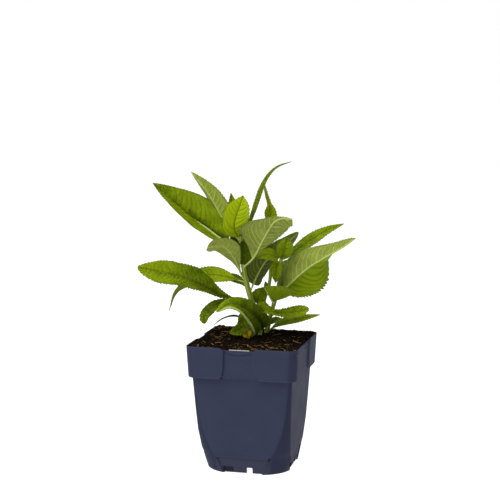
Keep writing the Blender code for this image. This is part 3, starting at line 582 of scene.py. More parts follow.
def polypropylene():
    """Injection-moulded polypropylene, as nursery pots are made.

    A soft gloss from the polished mould, a fine grain that breaks it up, faint flow marks, edges rubbed
    pale, and a thin film of dried peat dust on the inside of the rim and at the foot.
    """
    material, add, skin = blank_material("moulded slate-blue polypropylene")
    coordinates = add("ShaderNodeTexCoord").outputs
    place = coordinates["Object"]
    height = add("ShaderNodeSeparateXYZ", {0: place}).outputs["Z"]
    # Cloudy shade of recycled plastic, some 25 mm across
    cloud = add("ShaderNodeTexNoise", {"Vector": place, "Scale": 40, "Detail": 3})
    plastic = add("ShaderNodeMix", {0: cloud, 6: "#292d41", 7: "#32364c"}, data_type="RGBA")
    # The flat parts of the foot, below the crease, are a greyer, less blue shade
    foot = add("ShaderNodeMapRange", {0: height, 1: CREASE_Z + 0.5 * MM, 2: CREASE_Z - 1 * MM, 3: 0, 4: 1})
    # Painted shade: the rounded corners are painted darker than the flat walls, as the shade on their
    # downward-leaning faces
    corner = add("ShaderNodeAttribute", attribute_name="corner").outputs["Fac"]
    # Flow marks run up the walls, about 3 mm apart
    upward = add("ShaderNodeMapping", {"Vector": place, "Scale": (330, 330, 22)})
    flow = add("ShaderNodeTexNoise", {"Vector": upward, "Scale": 1, "Detail": 2})
    # Scuffs from handling, drawn 0.6 mm wide where real ones are finer, so that they show
    slant = add("ShaderNodeMapping", {"Vector": place, "Rotation": (0.5, 0.3, 0.9), "Scale": (60, 1600, 60)})
    scratch = add("ShaderNodeTexNoise", {"Vector": slant, "Scale": 1, "Detail": 4})
    scuffs = add("ShaderNodeMapRange", {0: scratch, 1: 0.66, 2: 0.78, 3: 0, 4: 0.16})
    # Edges that rub on other pots: the rim and the lip's lower edge, in patches of about 6 mm
    rim = add("ShaderNodeMapRange", {0: height, 1: POT_HEIGHT - 1.6 * MM, 2: POT_HEIGHT, 3: 0, 4: 1})
    low_lip = add("ShaderNodeMath", {0: height, 1: LIP_BOTTOM_Z, 2: 1.0 * MM}, operation="COMPARE")
    rubbed = add("ShaderNodeMath", {0: rim, 1: low_lip}, operation="MAXIMUM")
    wear_noise = add("ShaderNodeTexNoise", {"Vector": place, "Scale": 180, "Detail": 4})
    patches = add("ShaderNodeMath", {0: rubbed, 1: wear_noise}, operation="MULTIPLY")
    wear = add("ShaderNodeMath", {0: patches, 1: 0.3}, operation="MULTIPLY")
    # Peat dust, in specks of about 1 mm: at the foot, and thicker on the inside of the rim
    low = add("ShaderNodeMapRange", {0: height, 1: 16 * MM, 2: 0, 3: 0, 4: 0.35})
    outward = add("ShaderNodeVectorMath", {0: place, 1: coordinates["Normal"]},
                  operation="DOT_PRODUCT").outputs["Value"]
    indoors = add("ShaderNodeMapRange", {0: outward, 1: -5 * MM, 2: -15 * MM, 3: 0, 4: 1.6})
    high = add("ShaderNodeMapRange", {0: height, 1: LIP_BOTTOM_Z + 4 * MM, 2: POT_HEIGHT, 3: 0, 4: 1})
    indoors = add("ShaderNodeMath", {0: indoors, 1: high}, operation="MULTIPLY")
    speck = add("ShaderNodeTexNoise", {"Vector": place, "Scale": 900, "Detail": 5})
    specks = add("ShaderNodeMapRange", {0: speck, 1: 0.55, 2: 0.72, 3: 0, 4: 1})
    dust = add("ShaderNodeMath", {0: low, 1: indoors}, operation="ADD")
    dust = add("ShaderNodeMath", {0: dust, 1: specks}, operation="MULTIPLY", use_clamp=True)
    # Each shade lies over those before it; the corners' one is painted shade
    for share, shade in ((foot, "#303445"), (corner, "#24283d"), (scuffs, "#464a62"), (wear, "#4c5066"),
                         (dust, "#3a2e22")):
        plastic = add("ShaderNodeMix", {0: share, 6: plastic, 7: shade}, data_type="RGBA")
    gloss = add("ShaderNodeMapRange", {0: cloud, 1: 0.3, 2: 0.7, 3: 0.62, 4: 0.72})
    rough = add("ShaderNodeMath", {0: gloss, 1: dust}, operation="ADD")
    # The mould's own grain is about 0.1 mm, and is drawn 0.7 mm wide, so that it shows
    grain = add("ShaderNodeTexNoise", {"Vector": place, "Scale": 1500, "Detail": 2})
    relief = add("ShaderNodeMath", {0: flow, 1: grain}, operation="ADD")
    bump = add("ShaderNodeBump", {"Height": relief, "Strength": 0.25, "Distance": 0.08 * MM})
    fill(skin, {"Base Color": plastic, "Roughness": rough, "Normal": bump, "IOR": 1.49,
                "Specular IOR Level": 0.12})
    return material


def peat():
    """Moist sphagnum peat, milled to crumbs: nearly black, without gloss, rough at every scale."""
    material, add, skin = blank_material("milled sphagnum peat")
    place = add("ShaderNodeTexCoord").outputs["Object"]
    # Clods of about 4 mm, and damp patches of about 22 mm
    clods = add("ShaderNodeTexNoise", {"Vector": place, "Scale": 260, "Detail": 8, "Roughness": 0.7})
    damp = add("ShaderNodeTexNoise", {"Vector": place, "Scale": 45, "Detail": 3})
    shade = add("ShaderNodeMix", {0: clods, 6: "#020100", 7: "#1c1206"}, data_type="RGBA")
    wet = add("ShaderNodeMapRange", {0: damp, 1: 0.4, 2: 0.65, 3: 0, 4: 0.6})
    colour = add("ShaderNodeMix", {0: wet, 6: shade, 7: "#070401"}, data_type="RGBA")
    # Grains of about 0.7 mm
    grains = add("ShaderNodeTexVoronoi", {"Vector": place, "Scale": 1400}).outputs["Distance"]
    relief = add("ShaderNodeMath", {0: clods, 1: grains}, operation="ADD")
    bump = add("ShaderNodeBump", {"Height": relief, "Strength": 0.9, "Distance": 0.5 * MM})
    fill(skin, {"Base Color": colour, "Normal": bump, "Roughness": 0.95, "Specular IOR Level": 0.06})
    return material


def litter(name, dark, pale, rough):
    """Loose bits on the peat, each with its own tone: crumbs of peat and bark, or strands of dry fibre."""
    material, add, skin = blank_material(name)
    tone = add("ShaderNodeAttribute", attribute_name="tone").outputs["Fac"]
    place = add("ShaderNodeTexCoord").outputs["Object"]
    # Flecks of about 1.4 mm
    fleck = add("ShaderNodeTexNoise", {"Vector": place, "Scale": 700, "Detail": 3})
    # Most bits are dark, and a few are pale
    rare = add("ShaderNodeMath", {0: tone, 1: 2.2}, operation="POWER")
    blend = add("ShaderNodeMath", {0: rare, 1: fleck}, operation="MULTIPLY")
    share = add("ShaderNodeMapRange", {0: blend, 1: 0.03, 2: 0.5, 3: 0, 4: 1})
    colour = add("ShaderNodeMix", {0: share, 6: dark, 7: pale}, data_type="RGBA")
    bump = add("ShaderNodeBump", {"Height": fleck, "Strength": 0.6, "Distance": 0.3 * MM})
    fill(skin, {"Base Color": colour, "Normal": bump, "Roughness": rough, "Specular IOR Level": 0.1})
    return material


def polystyrene_card():
    """Sheet polystyrene, die-cut for plant labels: white and smooth, with a splash of peat at the soil."""
    material, add, skin = blank_material("die-cut white polystyrene")
    place = add("ShaderNodeTexCoord").outputs["Object"]
    height = add("ShaderNodeSeparateXYZ", {0: place}).outputs["Z"]
    # Splashes of about 1.2 mm
    speck = add("ShaderNodeTexNoise", {"Vector": place, "Scale": 800, "Detail": 4})
    low = add("ShaderNodeMapRange", {0: height, 1: SOIL_Z - 0.5 * MM, 2: SOIL_Z - 3 * MM, 3: 0, 4: 1})
    soiled = add("ShaderNodeMath", {0: low, 1: speck}, operation="MULTIPLY")
    colour = add("ShaderNodeMix", {0: soiled, 6: "#d6d8de", 7: "#4a3c2c"}, data_type="RGBA")
    bump = add("ShaderNodeBump", {"Height": speck, "Strength": 0.1, "Distance": 0.05 * MM})
    fill(skin, {"Base Color": colour, "Normal": bump, "Roughness": 0.38, "IOR": 1.59})
    return material


def leaf_skin(name, upper, greens, vein_share, rough):
    """The skin of a living leaf, which is thin and lets light through.

    On the upper face the side veins are sunken, darker lines and the blade bulges between them. On the
    underside the veins and the rib stand out, paler than the blade, which has a dull waxy bloom.
    """
    material, add, skin = blank_material(name)
    place = add("ShaderNodeTexCoord").outputs["Object"]
    phase, from_rib, side, lit, youth, rolled_with_painted_highlight = (
        add("ShaderNodeAttribute", attribute_name=name).outputs["Fac"] for name in SKIN_VALUES)
    # Blotches of about 8 mm and 2 mm
    blotch = add("ShaderNodeTexNoise", {"Vector": place, "Scale": 120, "Detail": 3})
    fine = add("ShaderNodeTexNoise", {"Vector": place, "Scale": 520, "Detail": 4})
    mixed = add("ShaderNodeMath", {0: blotch, 1: fine}, operation="ADD")
    spread = add("ShaderNodeMapRange", {0: mixed, 1: 0.82, 2: 1.18, 3: 0, 4: 1})
    blade = add("ShaderNodeMix", {0: spread, 6: greens.dark, 7: greens.mid}, data_type="RGBA")
    # Youth above 0 is new growth; below 0 is the deep green of old growth together with painted shade
    fresh = add("ShaderNodeMath", {0: youth, 1: 0}, operation="MAXIMUM")
    old_green_and_painted_shade = add("ShaderNodeMapRange", {0: youth, 1: 0, 2: -1, 3: 0, 4: 1})
    # Distance from the nearest side vein, 0 on it and 0.5 midway. Real veins are 0.3 mm wide; they are
    # drawn about 0.7 mm wide near the rib, and thinner towards the margin, so that they show
    distance = add("ShaderNodeMath", {0: phase, 1: 0.5}, operation="PINGPONG")
    vein_line = add("ShaderNodeMapRange", {0: distance, 1: 0.015, 2: 0.1, 3: 1, 4: 0},
                    interpolation_type="SMOOTHSTEP")
    fade = add("ShaderNodeMapRange", {0: side, 1: 0.6, 2: 1, 3: 1, 4: 0.3})
    vein_line = add("ShaderNodeMath", {0: vein_line, 1: fade}, operation="MULTIPLY")
    # Some veins show clearly and others hardly at all
    vein_number = add("ShaderNodeMath", {0: phase}, operation="ROUND")
    chance = add("ShaderNodeTexWhiteNoise", {"W": vein_number}, noise_dimensions="1D").outputs["Value"]
    strength = add("ShaderNodeMapRange", {0: chance, 1: 0, 2: 1, 3: 0.3, 4: 1})
    vein_line = add("ShaderNodeMath", {0: vein_line, 1: strength}, operation="MULTIPLY")
    rib_line = add("ShaderNodeMapRange", {0: from_rib, 1: 0.35, 2: 0.9, 3: 1, 4: 0},
                   interpolation_type="SMOOTHSTEP")
    lines = add("ShaderNodeMath", {0: vein_line, 1: rib_line}, operation="MAXIMUM")
    # The net of the finest veins has meshes of about 1.6 mm
    net = add("ShaderNodeTexVoronoi", {"Vector": place, "Scale": 620},
              feature="DISTANCE_TO_EDGE").outputs["Distance"]
    net_line = add("ShaderNodeMapRange", {0: net, 1: 0, 2: 0.14, 3: 0.2, 4: 0})
    drawn = add("ShaderNodeMath", {0: lines, 1: net_line}, operation="MAXIMUM")
    # Veins show more in a young leaf
    clear = add("ShaderNodeMapRange", {0: youth, 1: 0, 2: 1, 3: vein_share, 4: 1.6 * vein_share})
    share = add("ShaderNodeMath", {0: drawn, 1: clear}, operation="MULTIPLY", use_clamp=True)
    # Painted shade: where backlight is painted, the blade is darker on both sides of a vein, as the shade
    # between its ridges
    painted_shade_beside_vein = add("ShaderNodeMapRange", {0: distance, 1: 0.08, 2: 0.3, 3: 0.45, 4: 0})
    painted_shade_beside_vein = add("ShaderNodeMath", {0: painted_shade_beside_vein, 1: lit}, operation="MULTIPLY")
    share = add("ShaderNodeMath", {0: share, 1: painted_shade_beside_vein}, operation="MAXIMUM")
    # Where a margin rolls up, its underside is painted as pale as a vein: its own paler colour together with
    # a painted highlight
    share = add("ShaderNodeMath", {0: share, 1: rolled_with_painted_highlight}, operation="MAXIMUM")
    # Where backlight is painted, the veins take a colour that is painted shade between the ridges
    vein = add("ShaderNodeMix", {0: lit, 6: greens.vein, 7: greens.vein_lit}, data_type="RGBA")
    # The last millimetre at the margin is darker and flushed with purple, more in some places
    edge = add("ShaderNodeMapRange", {0: side, 1: 0.86, 2: 1, 3: 0, 4: 1})
    flush = add("ShaderNodeMapRange", {0: blotch, 1: 0.4, 2: 0.6, 3: 0.15, 4: 0.8})
    edge = add("ShaderNodeMath", {0: edge, 1: flush}, operation="MULTIPLY")
    # Each shade lies over those before it: among them the painted backlight, the painted shade of old growth
    # and the veins' painted shade
    for layer, shade in ((lit, greens.lit), (fresh, greens.young), (old_green_and_painted_shade, greens.deep), (share, vein),
                         (edge, greens.edge)):
        blade = add("ShaderNodeMix", {0: layer, 6: blade, 7: shade}, data_type="RGBA")
    gloss = add("ShaderNodeMapRange", {0: fine, 1: 0.3, 2: 0.7, 3: rough - 0.06, 4: rough + 0.08})
    pillow = add("ShaderNodeMath", {0: distance, 1: 0.8}, operation="POWER")
    lifted = add("ShaderNodeMath", {0: pillow, 1: net_line}, operation="SUBTRACT")
    ridge = add("ShaderNodeMath", {0: lines, 1: -0.9 if upper else 0.9}, operation="MULTIPLY")
    swell = add("ShaderNodeMath", {0: lifted, 1: 1 if upper else -0.6}, operation="MULTIPLY")
    relief = add("ShaderNodeMath", {0: ridge, 1: swell}, operation="ADD")
    bump = add("ShaderNodeBump", {"Height": relief, "Strength": 0.6, "Distance": 0.5 * MM})
    fill(skin, {"Base Color": blade, "Roughness": gloss, "Normal": bump, "Subsurface Weight": 0.5,
                "Subsurface Radius": (0.6, 1.0, 0.05), "Subsurface Scale": 1 * MM, "IOR": 1.42,
                "Specular IOR Level": 0.06})
    return material


def stalk_skin(name, dark, pale):
    """The skin of a soft green stem: slightly waxy, with pale ridges that run along it."""
    material, add, skin = blank_material(name)
    place = add("ShaderNodeTexCoord").outputs["Object"]
    ridge = add("ShaderNodeAttribute", attribute_name="ridge").outputs["Fac"]
    # Streaks of about 1.4 mm by 17 mm
    streak_place = add("ShaderNodeMapping", {"Vector": place, "Scale": (700, 700, 60)})
    streak = add("ShaderNodeTexNoise", {"Vector": streak_place, "Scale": 1, "Detail": 3})
    crest = add("ShaderNodeMapRange", {0: ridge, 1: -1, 2: 1, 3: 0, 4: 0.75})
    share = add("ShaderNodeMath", {0: crest, 1: streak}, operation="MULTIPLY")
    share = add("ShaderNodeMath", {0: share, 1: 1.6}, operation="MULTIPLY")
    colour = add("ShaderNodeMix", {0: share, 6: dark, 7: pale}, data_type="RGBA")
    bump = add("ShaderNodeBump", {"Height": streak, "Strength": 0.5, "Distance": 0.25 * MM})
    fill(skin, {"Base Color": colour, "Normal": bump, "Roughness": 0.5, "Specular IOR Level": 0.2,
                "Subsurface Weight": 0.3, "Subsurface Radius": (0.8, 1.0, 0.2), "Subsurface Scale": 1 * MM})
    return material


def studio_floor():
    """Matt white background paper, lit through from below: a soft, even ground without a dark shadow."""
    material, _, skin = blank_material("matt white background paper")
    fill(skin, {"Base Color": "#959595", "Emission Color": "#ffffff", "Emission Strength": FLOOR_GLOW,
                "Roughness": 1, "Specular IOR Level": 0})
    return material


# Pot

def smooth_step(low, high, value):
    share = min(1.0, max(0.0, (value - low) / (high - low)))
    return share * share * (3 - 2 * share)


def columns(centre, left, right, left_ramp, right_ramp):
    """Places along one side between its corners, closest at the two edges of the part between the marks."""
    start = left - left_ramp
    end = right + right_ramp
    shares = [(t / FLAT_STEPS) ** CLOSER_TO_MARKS for t in range(1, FLAT_STEPS)]
    places = [start - (centre + start) * share for share in shares[::-1]]
    places += [left + left_ramp * t for t in RAMP_PLACES]
    middle = (left + left_ramp + right - right_ramp) / 2
    reach = middle - left - left_ramp
    places += [middle - reach * math.cos(math.pi * t / RECESS_STEPS) for t in range(1, RECESS_STEPS)]
    places += [right + right_ramp * t for t in RAMP_PLACES]
    return places + [end + (centre - end) * share for share in shares]


def even_marks(half):
    """The two edges of a part in the middle of a side, and the run of their ramps."""
    return (-half, half, MARK_RAMP, MARK_RAMP)


def between(x, left, right, left_ramp, right_ramp):
    """1 between two edges and 0 outside them, with ramps."""
    return smooth_step(-left_ramp, left_ramp, x - left) * smooth_step(-right_ramp, right_ramp, right - x)


def pot_ring(z, half, corner, marks, depth=0.0, lift=0.0, sag=None):
    """A rounded square at height z, its corners meeting the flat sides in a slight crease.

    Each side is set back by depth and lifted by lift between its marks, and lowered by sag(turn, x).
    """
    ring = []
    centre = half - corner
    spread = math.radians(45) - CORNER_CREASE
    radius = corner / math.sqrt(2) / math.sin(spread)
    hub = -half + corner / 2 + radius * math.cos(spread) / math.sqrt(2)
    places = columns(centre, *marks)
    for turn in range(4):
        side = []
        for step in range(CORNER_STEPS + 1):
            angle = math.radians(-135) + spread * (2 * step / CORNER_STEPS - 1)
            side.append((hub + radius * math.cos(angle), hub + radius * math.sin(angle), z))
        for x in places:
            inside = between(x, *marks)
            lower = sag(turn, x) if sag else 0.0
            side.append((x, -half + depth * inside, z + lift * inside - lower))
        spin = Matrix.Rotation(math.radians(90 * turn), 3, "Z")
        ring += [spin @ Vector(point) for point in side]
    return ring


def loft(rings):
    """A closed skin over the rings, its faces looking outward."""
    bm = bmesh.new()
    loops = [[bm.verts.new(point) for point in ring] for ring in rings]
    for lower, upper in zip(loops, loops[1:]):
        for i in range(len(lower)):
            j = (i + 1) % len(lower)
            bm.faces.new((lower[i], lower[j], upper[j], upper[i]))
    bm.faces.new(loops[0][::-1])
    bm.faces.new(loops[-1])
    bmesh.ops.recalc_face_normals(bm, faces=bm.faces)
    return bm


def body_size(z):
    """Half width and corner radius of the pot's wall at a height above the crease."""
    heights, halves, corners = zip(*BODY_SECTIONS)
    return np.interp(z, heights, halves), np.interp(z, heights, corners)


def wall_marks(z):
    """The wall's mark lines, which hold the foot's inset below, at a height above the crease."""
    share = (z - CREASE_Z) / (LIP_BOTTOM_Z - CREASE_Z)
    return even_marks(CREASE_MARK + share * (LIP_MARK - CREASE_MARK))


def lip_half(z):
    """The lip's half width at a height."""
    return LIP_BOTTOM_HALF + (z - LIP_BOTTOM_Z) / LIP_HEIGHT * (LIP_TOP_HALF - LIP_BOTTOM_HALF)


def recess_marks(below, wider=0.0):
    """The edges of the lip's recess at a distance below the rim, moved apart by wider."""
    depths, lefts, rights = zip(*RECESS_EDGES)
    left = np.interp(below, depths, lefts) - wider
    right = np.interp(below, depths, rights) + wider
    return (left, right, LEFT_RAMP, RIGHT_RAMP)


def rim_sag(scoop, arch):
    """How far a ring near the rim hangs at x of a side: by the rim's scoop, and by the groove's arch."""
    left, right = RECESS_EDGES[0][1:]
    middle = (left + right) / 2
    reach = (right - left) / 2

    def sag(turn, x):
        if turn not in SCOOPED_SIDES:
            return 0.0
        over = between(x, left - 0.6 * SCOOP_RUN, right + 0.6 * SCOOP_RUN, SCOOP_RUN, SCOOP_RUN)
        return RIM_SCOOP * scoop * over + ARCH_DROP * arch * max(0.0, 1 - ((x - middle) / reach) ** 2)

    return sag


def lip_ring(z, inward, scoop, arch=0.0, groove=0.0):
    """A ring of the lip's outside, with its share of the rim's scoop and of the groove's arch."""
    lift = RECESS_LIFT * (1 - smooth_step(0, RECESS_LIFT_RUN, z - LIP_BOTTOM_Z))
    return pot_ring(z, lip_half(z) - inward, LIP_CORNER - inward, recess_marks(POT_HEIGHT - z),
                    RECESS_DEPTH + groove, lift, rim_sag(scoop, arch))


def lip_inner_ring(z, inward, scoop):
    """A ring of the lip's inside, which follows its outside a wall's thickness behind it."""
    half = lip_half(z) - LIP_WALL - inward
    return pot_ring(z, half, LIP_CORNER - LIP_WALL, recess_marks(POT_HEIGHT - z, LIP_WALL), RECESS_DEPTH,
                    0.0, rim_sag(scoop, 0.0))


def round_edge(degrees):
    """Steps round the lip's edge: what is left of its rise, and how far it has turned inward."""
    turns = [math.radians(step) for step in degrees]
    return [(LIP_EDGE_ROUND * (1 - math.sin(turn)), LIP_EDGE_ROUND * (1 - math.cos(turn))) for turn in turns]


def inner_rings(inset):
    """The pot's inside, from the lowest point of its floor up to the lip, moved inward by inset."""
    first_half, first_corner = BODY_SECTIONS[0][1:]
    z, half, corner = BODY_SECTIONS[-1]
    floor = FLOOR_Z + WALL + inset
    sections = [
        (WALL + inset, PAD_HALF - inset, PAD_CORNER, PAD_MARK),
        (floor, PAD_HALF + PAD_FLARE - inset, PAD_CORNER, PAD_MARK),
        (floor, first_half - 2 * WALL - inset, first_corner, FLOOR_MARK),
        *((low + WALL, wide - WALL - inset, bend, LIP_MARK) for low, wide, bend in BODY_SECTIONS[:-1]),
        (z + WALL + inset, half - WALL - inset, corner, LIP_MARK),
    ]
    rings = [pot_ring(*section, even_marks(mark)) for *section, mark in sections]
    return rings + [lip_inner_ring(z + LIP_WALL + inset, inset, 0)]


def outer_rings():
    """The pot's outside from its foot up over the rim's rounded edge."""
    half, corner = BODY_SECTIONS[0][1:]
    foot = (FOOT_CORNER, even_marks(FOOT_MARK), FOOT_INSET, FOOT_LIFT)
    rings = [pot_ring(0, FOOT_HALF - FOOT_BEVEL, *foot), pot_ring(FOOT_BEVEL, FOOT_HALF, *foot)]
    for t in (0.25, 0.5, 0.75, 1):
        z = t * (CREASE_Z - CREASE_RUN)
        share = z / CREASE_Z
        rings.append(pot_ring(
            z, FOOT_HALF + share * (half - FOOT_HALF), FOOT_CORNER + share * (corner - FOOT_CORNER),
            even_marks(FOOT_MARK + share * (CREASE_MARK - FOOT_MARK)), FOOT_INSET, FOOT_LIFT * (1 - t)))
    for i in range(BODY_RINGS + 1):
        z = CREASE_Z + (LIP_BOTTOM_Z - CREASE_Z) * i / BODY_RINGS
        rings.append(pot_ring(z, *body_size(z), wall_marks(z)))
    rings += [lip_ring(LIP_BOTTOM_Z + turned, left, 0) for left, turned in round_edge((0, 30, 60, 90))]
    for below in LIP_RINGS:
        scoop = smooth_step(SCOOP_STARTS, SCOOP_FULL, below)
        arch = smooth_step(SCOOP_STARTS, ARCH_FULL, below)
        rings.append(lip_ring(POT_HEIGHT - below * MM, 0, scoop, arch))
    for below, groove in GROOVE_RINGS:
        rings.append(lip_ring(POT_HEIGHT - below * MM, 0, 1, 1, groove * ARCH_DEPTH))
    for below, arch in RINGS_OVER_GROOVE:
        rings.append(lip_ring(POT_HEIGHT - below * MM, 0, 1, arch))
    return rings + [lip_ring(POT_HEIGHT - left, turned, 1) for left, turned in round_edge((0, 30, 60, 90))]


def side_cutters():
    """The slot and the open notch at the foot of each of the four sides, with rounded corners."""
    for turn in range(4):
        for place, bottom, width, height in (SLOT, NOTCH):
            bm = bmesh.new()
            bmesh.ops.create_cube(bm, size=1)
            bmesh.ops.scale(bm, vec=(width, OPENING_CUT_DEPTH, height), verts=bm.verts)
            lengthwise = [e for e in bm.edges if abs(e.verts[0].co.y - e.verts[1].co.y) > 1 * MM]
            bmesh.ops.bevel(bm, geom=lengthwise, offset=OPENING_ROUND, segments=4, profile=0.5,
                            affect="EDGES")
            bmesh.ops.translate(bm, vec=(place, -FOOT_HALF, bottom + height / 2), verts=bm.verts)
            bmesh.ops.rotate(bm, matrix=Matrix.Rotation(math.radians(90 * turn), 3, "Z"), verts=bm.verts)
            yield mesh_from_bmesh("opening", bm)


def drain_cutters():
    low, high = DRAIN_CUT
    for x in (-DRAIN_PLACE, DRAIN_PLACE):
        for y in (-DRAIN_PLACE, DRAIN_PLACE):
            bm = bmesh.new()
            bmesh.ops.create_cone(bm, cap_ends=True, segments=CUTTER_SIDES, radius1=DRAIN_RADIUS,
                                  radius2=DRAIN_RADIUS, depth=high - low)
            bmesh.ops.translate(bm, vec=(x, y, (low + high) / 2), verts=bm.verts)
            yield mesh_from_bmesh("drain", bm)


def cut(piece, shapes):
    """Cut shapes out of a piece, and remove the shapes."""
    group = bpy.data.collections.new("cutters")
    for shape in shapes:
        group.objects.link(bpy.data.objects.new(shape.name, shape))
    modifier = piece.modifiers.new("openings", "BOOLEAN")
    modifier.operation = "DIFFERENCE"
    modifier.operand_type = "COLLECTION"
    modifier.collection = group
    modifier.solver = "EXACT"
    keep_result(piece, modifier)
    for shape in shapes:
        bpy.data.meshes.remove(shape)
    bpy.data.collections.remove(group)


def crease_edges(mesh):
    """Smooth the mesh, but keep real edges and the upright creases beside the corners crisp."""
    bm = bmesh.new()
    bm.from_mesh(mesh)
    low, high = map(math.radians, CORNER_BENDS)
    for edge in bm.edges:
        if len(edge.link_faces) != 2:
            continue
        bend = edge.calc_face_angle(0)
        upright = abs((edge.verts[0].co - edge.verts[1].co).normalized().z)
        crisp_corner = low < bend < high and upright > UPRIGHT
        edge.smooth = not (bend > math.radians(CRISP_BEND) or crisp_corner)
    for face in bm.faces:
        face.smooth = True
    bm.to_mesh(mesh)
    bm.free()


def add_slot_ribs(mesh):
    """The short ribs under the floor, which are what is seen through the slots at the pot's foot."""
    place, width = SLOT[0], SLOT[2] + RIB_SPARE
    height = FLOOR_Z - GAP / 10 - RIB_OFF_GROUND
    bm = bmesh.new()
    bm.from_mesh(mesh)
    for side in range(4):
        middle = Vector((place, RIB_BEHIND_SLOT + 1.5 * WALL - FOOT_HALF, RIB_OFF_GROUND + height / 2))
        turn = Matrix.Rotation(side * math.pi / 2, 4, "Z")
        size = Matrix.Diagonal((width, WALL, height, 1))
        bmesh.ops.create_cube(bm, size=1, matrix=turn @ Matrix.Translation(middle) @ size)
    bm.to_mesh(mesh)
    bm.free()


def paint_corner_shade(mesh):
    """How far each point of the pot lies in one of its rounded corners, for the painted shade of the
    corners.
    """
    heights = [z for z, half, corner in BODY_SECTIONS]
    flats = [half - corner for z, half, corner in BODY_SECTIONS]
    shares = []
    for vert in mesh.vertices:
        x, y, z = vert.co
        on_lip = z >= LIP_BOTTOM_Z
        flat = lip_half(z) - LIP_CORNER if on_lip else np.interp(z, heights, flats)
        share = smooth_step(flat, flat + PAINTED_CORNER_SHADE_RAMP, min(abs(x), abs(y)))
        shares.append(share * (0.5 if on_lip else 1.0))
    store(mesh, "corner", shares)


def make_pot(plastic):
    """The pot as one closed skin: its underside, its outside up to the rim, and its inside down again."""
    foot = (FOOT_CORNER - WALL, even_marks(FOOT_MARK), FOOT_INSET)
    under = [
        pot_ring(0, PAD_HALF, PAD_CORNER, even_marks(PAD_MARK)),
        pot_ring(FLOOR_Z, PAD_HALF + PAD_FLARE, PAD_CORNER, even_marks(PAD_MARK)),
        pot_ring(FLOOR_Z, FOOT_HALF - WALL, *foot),
        pot_ring(0, FOOT_HALF - WALL, *foot, FOOT_LIFT),
    ]
    inside = inner_rings(0)
    for below in INNER_LIP_RINGS:
        scoop = smooth_step(SCOOP_STARTS, SCOOP_FULL, below)
        inside.append(lip_inner_ring(POT_HEIGHT - below * MM, 0, scoop))
    inside += [lip_inner_ring(POT_HEIGHT - left, -turned, 1) for left, turned in round_edge((30, 60, 90))]
    bm = loft(under + outer_rings() + inside[::-1])
    pot = add_mesh_object("square_pot", mesh_from_bmesh("square_pot", bm), [plastic])
    cut(pot, [*side_cutters(), *drain_cutters()])
    add_slot_ribs(pot.data)
    paint_corner_shade(pot.data)
    crease_edges(pot.data)
    return pot


# Soil and label

def soil_height(x, y):
    """Peat heaped nearly to the rim, with lumps and finer clods, highest where the stems come up.

    Near the wall it stays under the rim, but for the left and the back, where it is heaped over it.
    """
    apart = math.hypot(x - SOIL_MOUND_CENTRE[0], y - SOIL_MOUND_CENTRE[1]) / LIP_TOP_HALF
    level = SOIL_Z + (SOIL_TILT[0] * x + SOIL_TILT[1] * y) / LIP_TOP_HALF + SOIL_MOUND * max(0.0, 1 - apart)
    level -= SOIL_LOW_FRONT * smooth_step(*SOIL_FRONT, y)
    lumps = noise.noise(Vector((x, y, 0)) * SOIL_LUMPS_PER_METRE) * SOIL_RELIEF
    clods = noise.fractal(Vector((x, y, 0.01)) * SOIL_CLODS_PER_METRE, 1.0, 2.0, 3) * SOIL_CLOD_RELIEF
    level += lumps + clods
    near_wall = smooth_step(*SOIL_BESIDE_WALL, max(abs(x), abs(y)))
    scooped = smooth_step(*SOIL_AT_SCOOP, min(abs(x), abs(y))) * (max(x, -y) > SOIL_SCOOPS_FROM)
    heaped = smooth_step(*SOIL_HEAPED, y - x)
    highest = POT_HEIGHT - SOIL_UNDER_RIM - scooped * RIM_SCOOP + heaped * SOIL_OVER_RIM
    return level - near_wall * max(0.0, level - highest)


def make_soil(earth):
    """The peat that fills the pot: it follows the inside, and its top is drawn in rings to the middle."""
    edge = lip_inner_ring(SOIL_WALL_Z, GAP, 0)
    rings = inner_rings(GAP) + [edge]
    for i in range(SOIL_RINGS):
        share = 1 - i / SOIL_RINGS
        places = [(point.x * share, point.y * share) for point in edge]
        rings.append([Vector((x, y, soil_height(x, y))) for x, y in places])
    bm = loft(rings)
    for face in bm.faces:
        face.smooth = True
    return add_mesh_object("peat_filling", mesh_from_bmesh("peat_filling", bm), [earth])


def soil_patch(name):
    """A grid on the soil's surface that bits are strewn on.

    Its amount is less near the stems, and none behind each recess of the lip, where the wall stands
    further in.
    """
    bm = bmesh.new()
    bmesh.ops.create_grid(bm, x_segments=STREWN_STEPS, y_segments=STREWN_STEPS,
                          size=LIP_TOP_HALF - LIP_WALL - STREWN_OFF_LIP)
    for vert in bm.verts:
        vert.co.z = soil_height(vert.co.x, vert.co.y)
    mesh = mesh_from_bmesh(name, bm)
    amounts = []
    for vert in mesh.vertices:
        x, y = vert.co.xy
        apart = math.hypot(x - STEMS_PLACE[0], y - STEMS_PLACE[1])
        drift = noise.noise(Vector((x, y, 0.3)) * STREWN_DRIFTS_PER_METRE)
        amount = max(STREWN_LEAST, smooth_step(*STEMS_CLEARING, apart) * (STREWN_USUAL + drift))
        behind_recess = max(abs(x), abs(y)) > BARE_STRIP and min(abs(x), abs(y)) < BARE_STRIP_HALF
        amounts.append(0.0 if behind_recess else amount)
    store(mesh, "amount", amounts)
    return add_mesh_object(name, mesh)


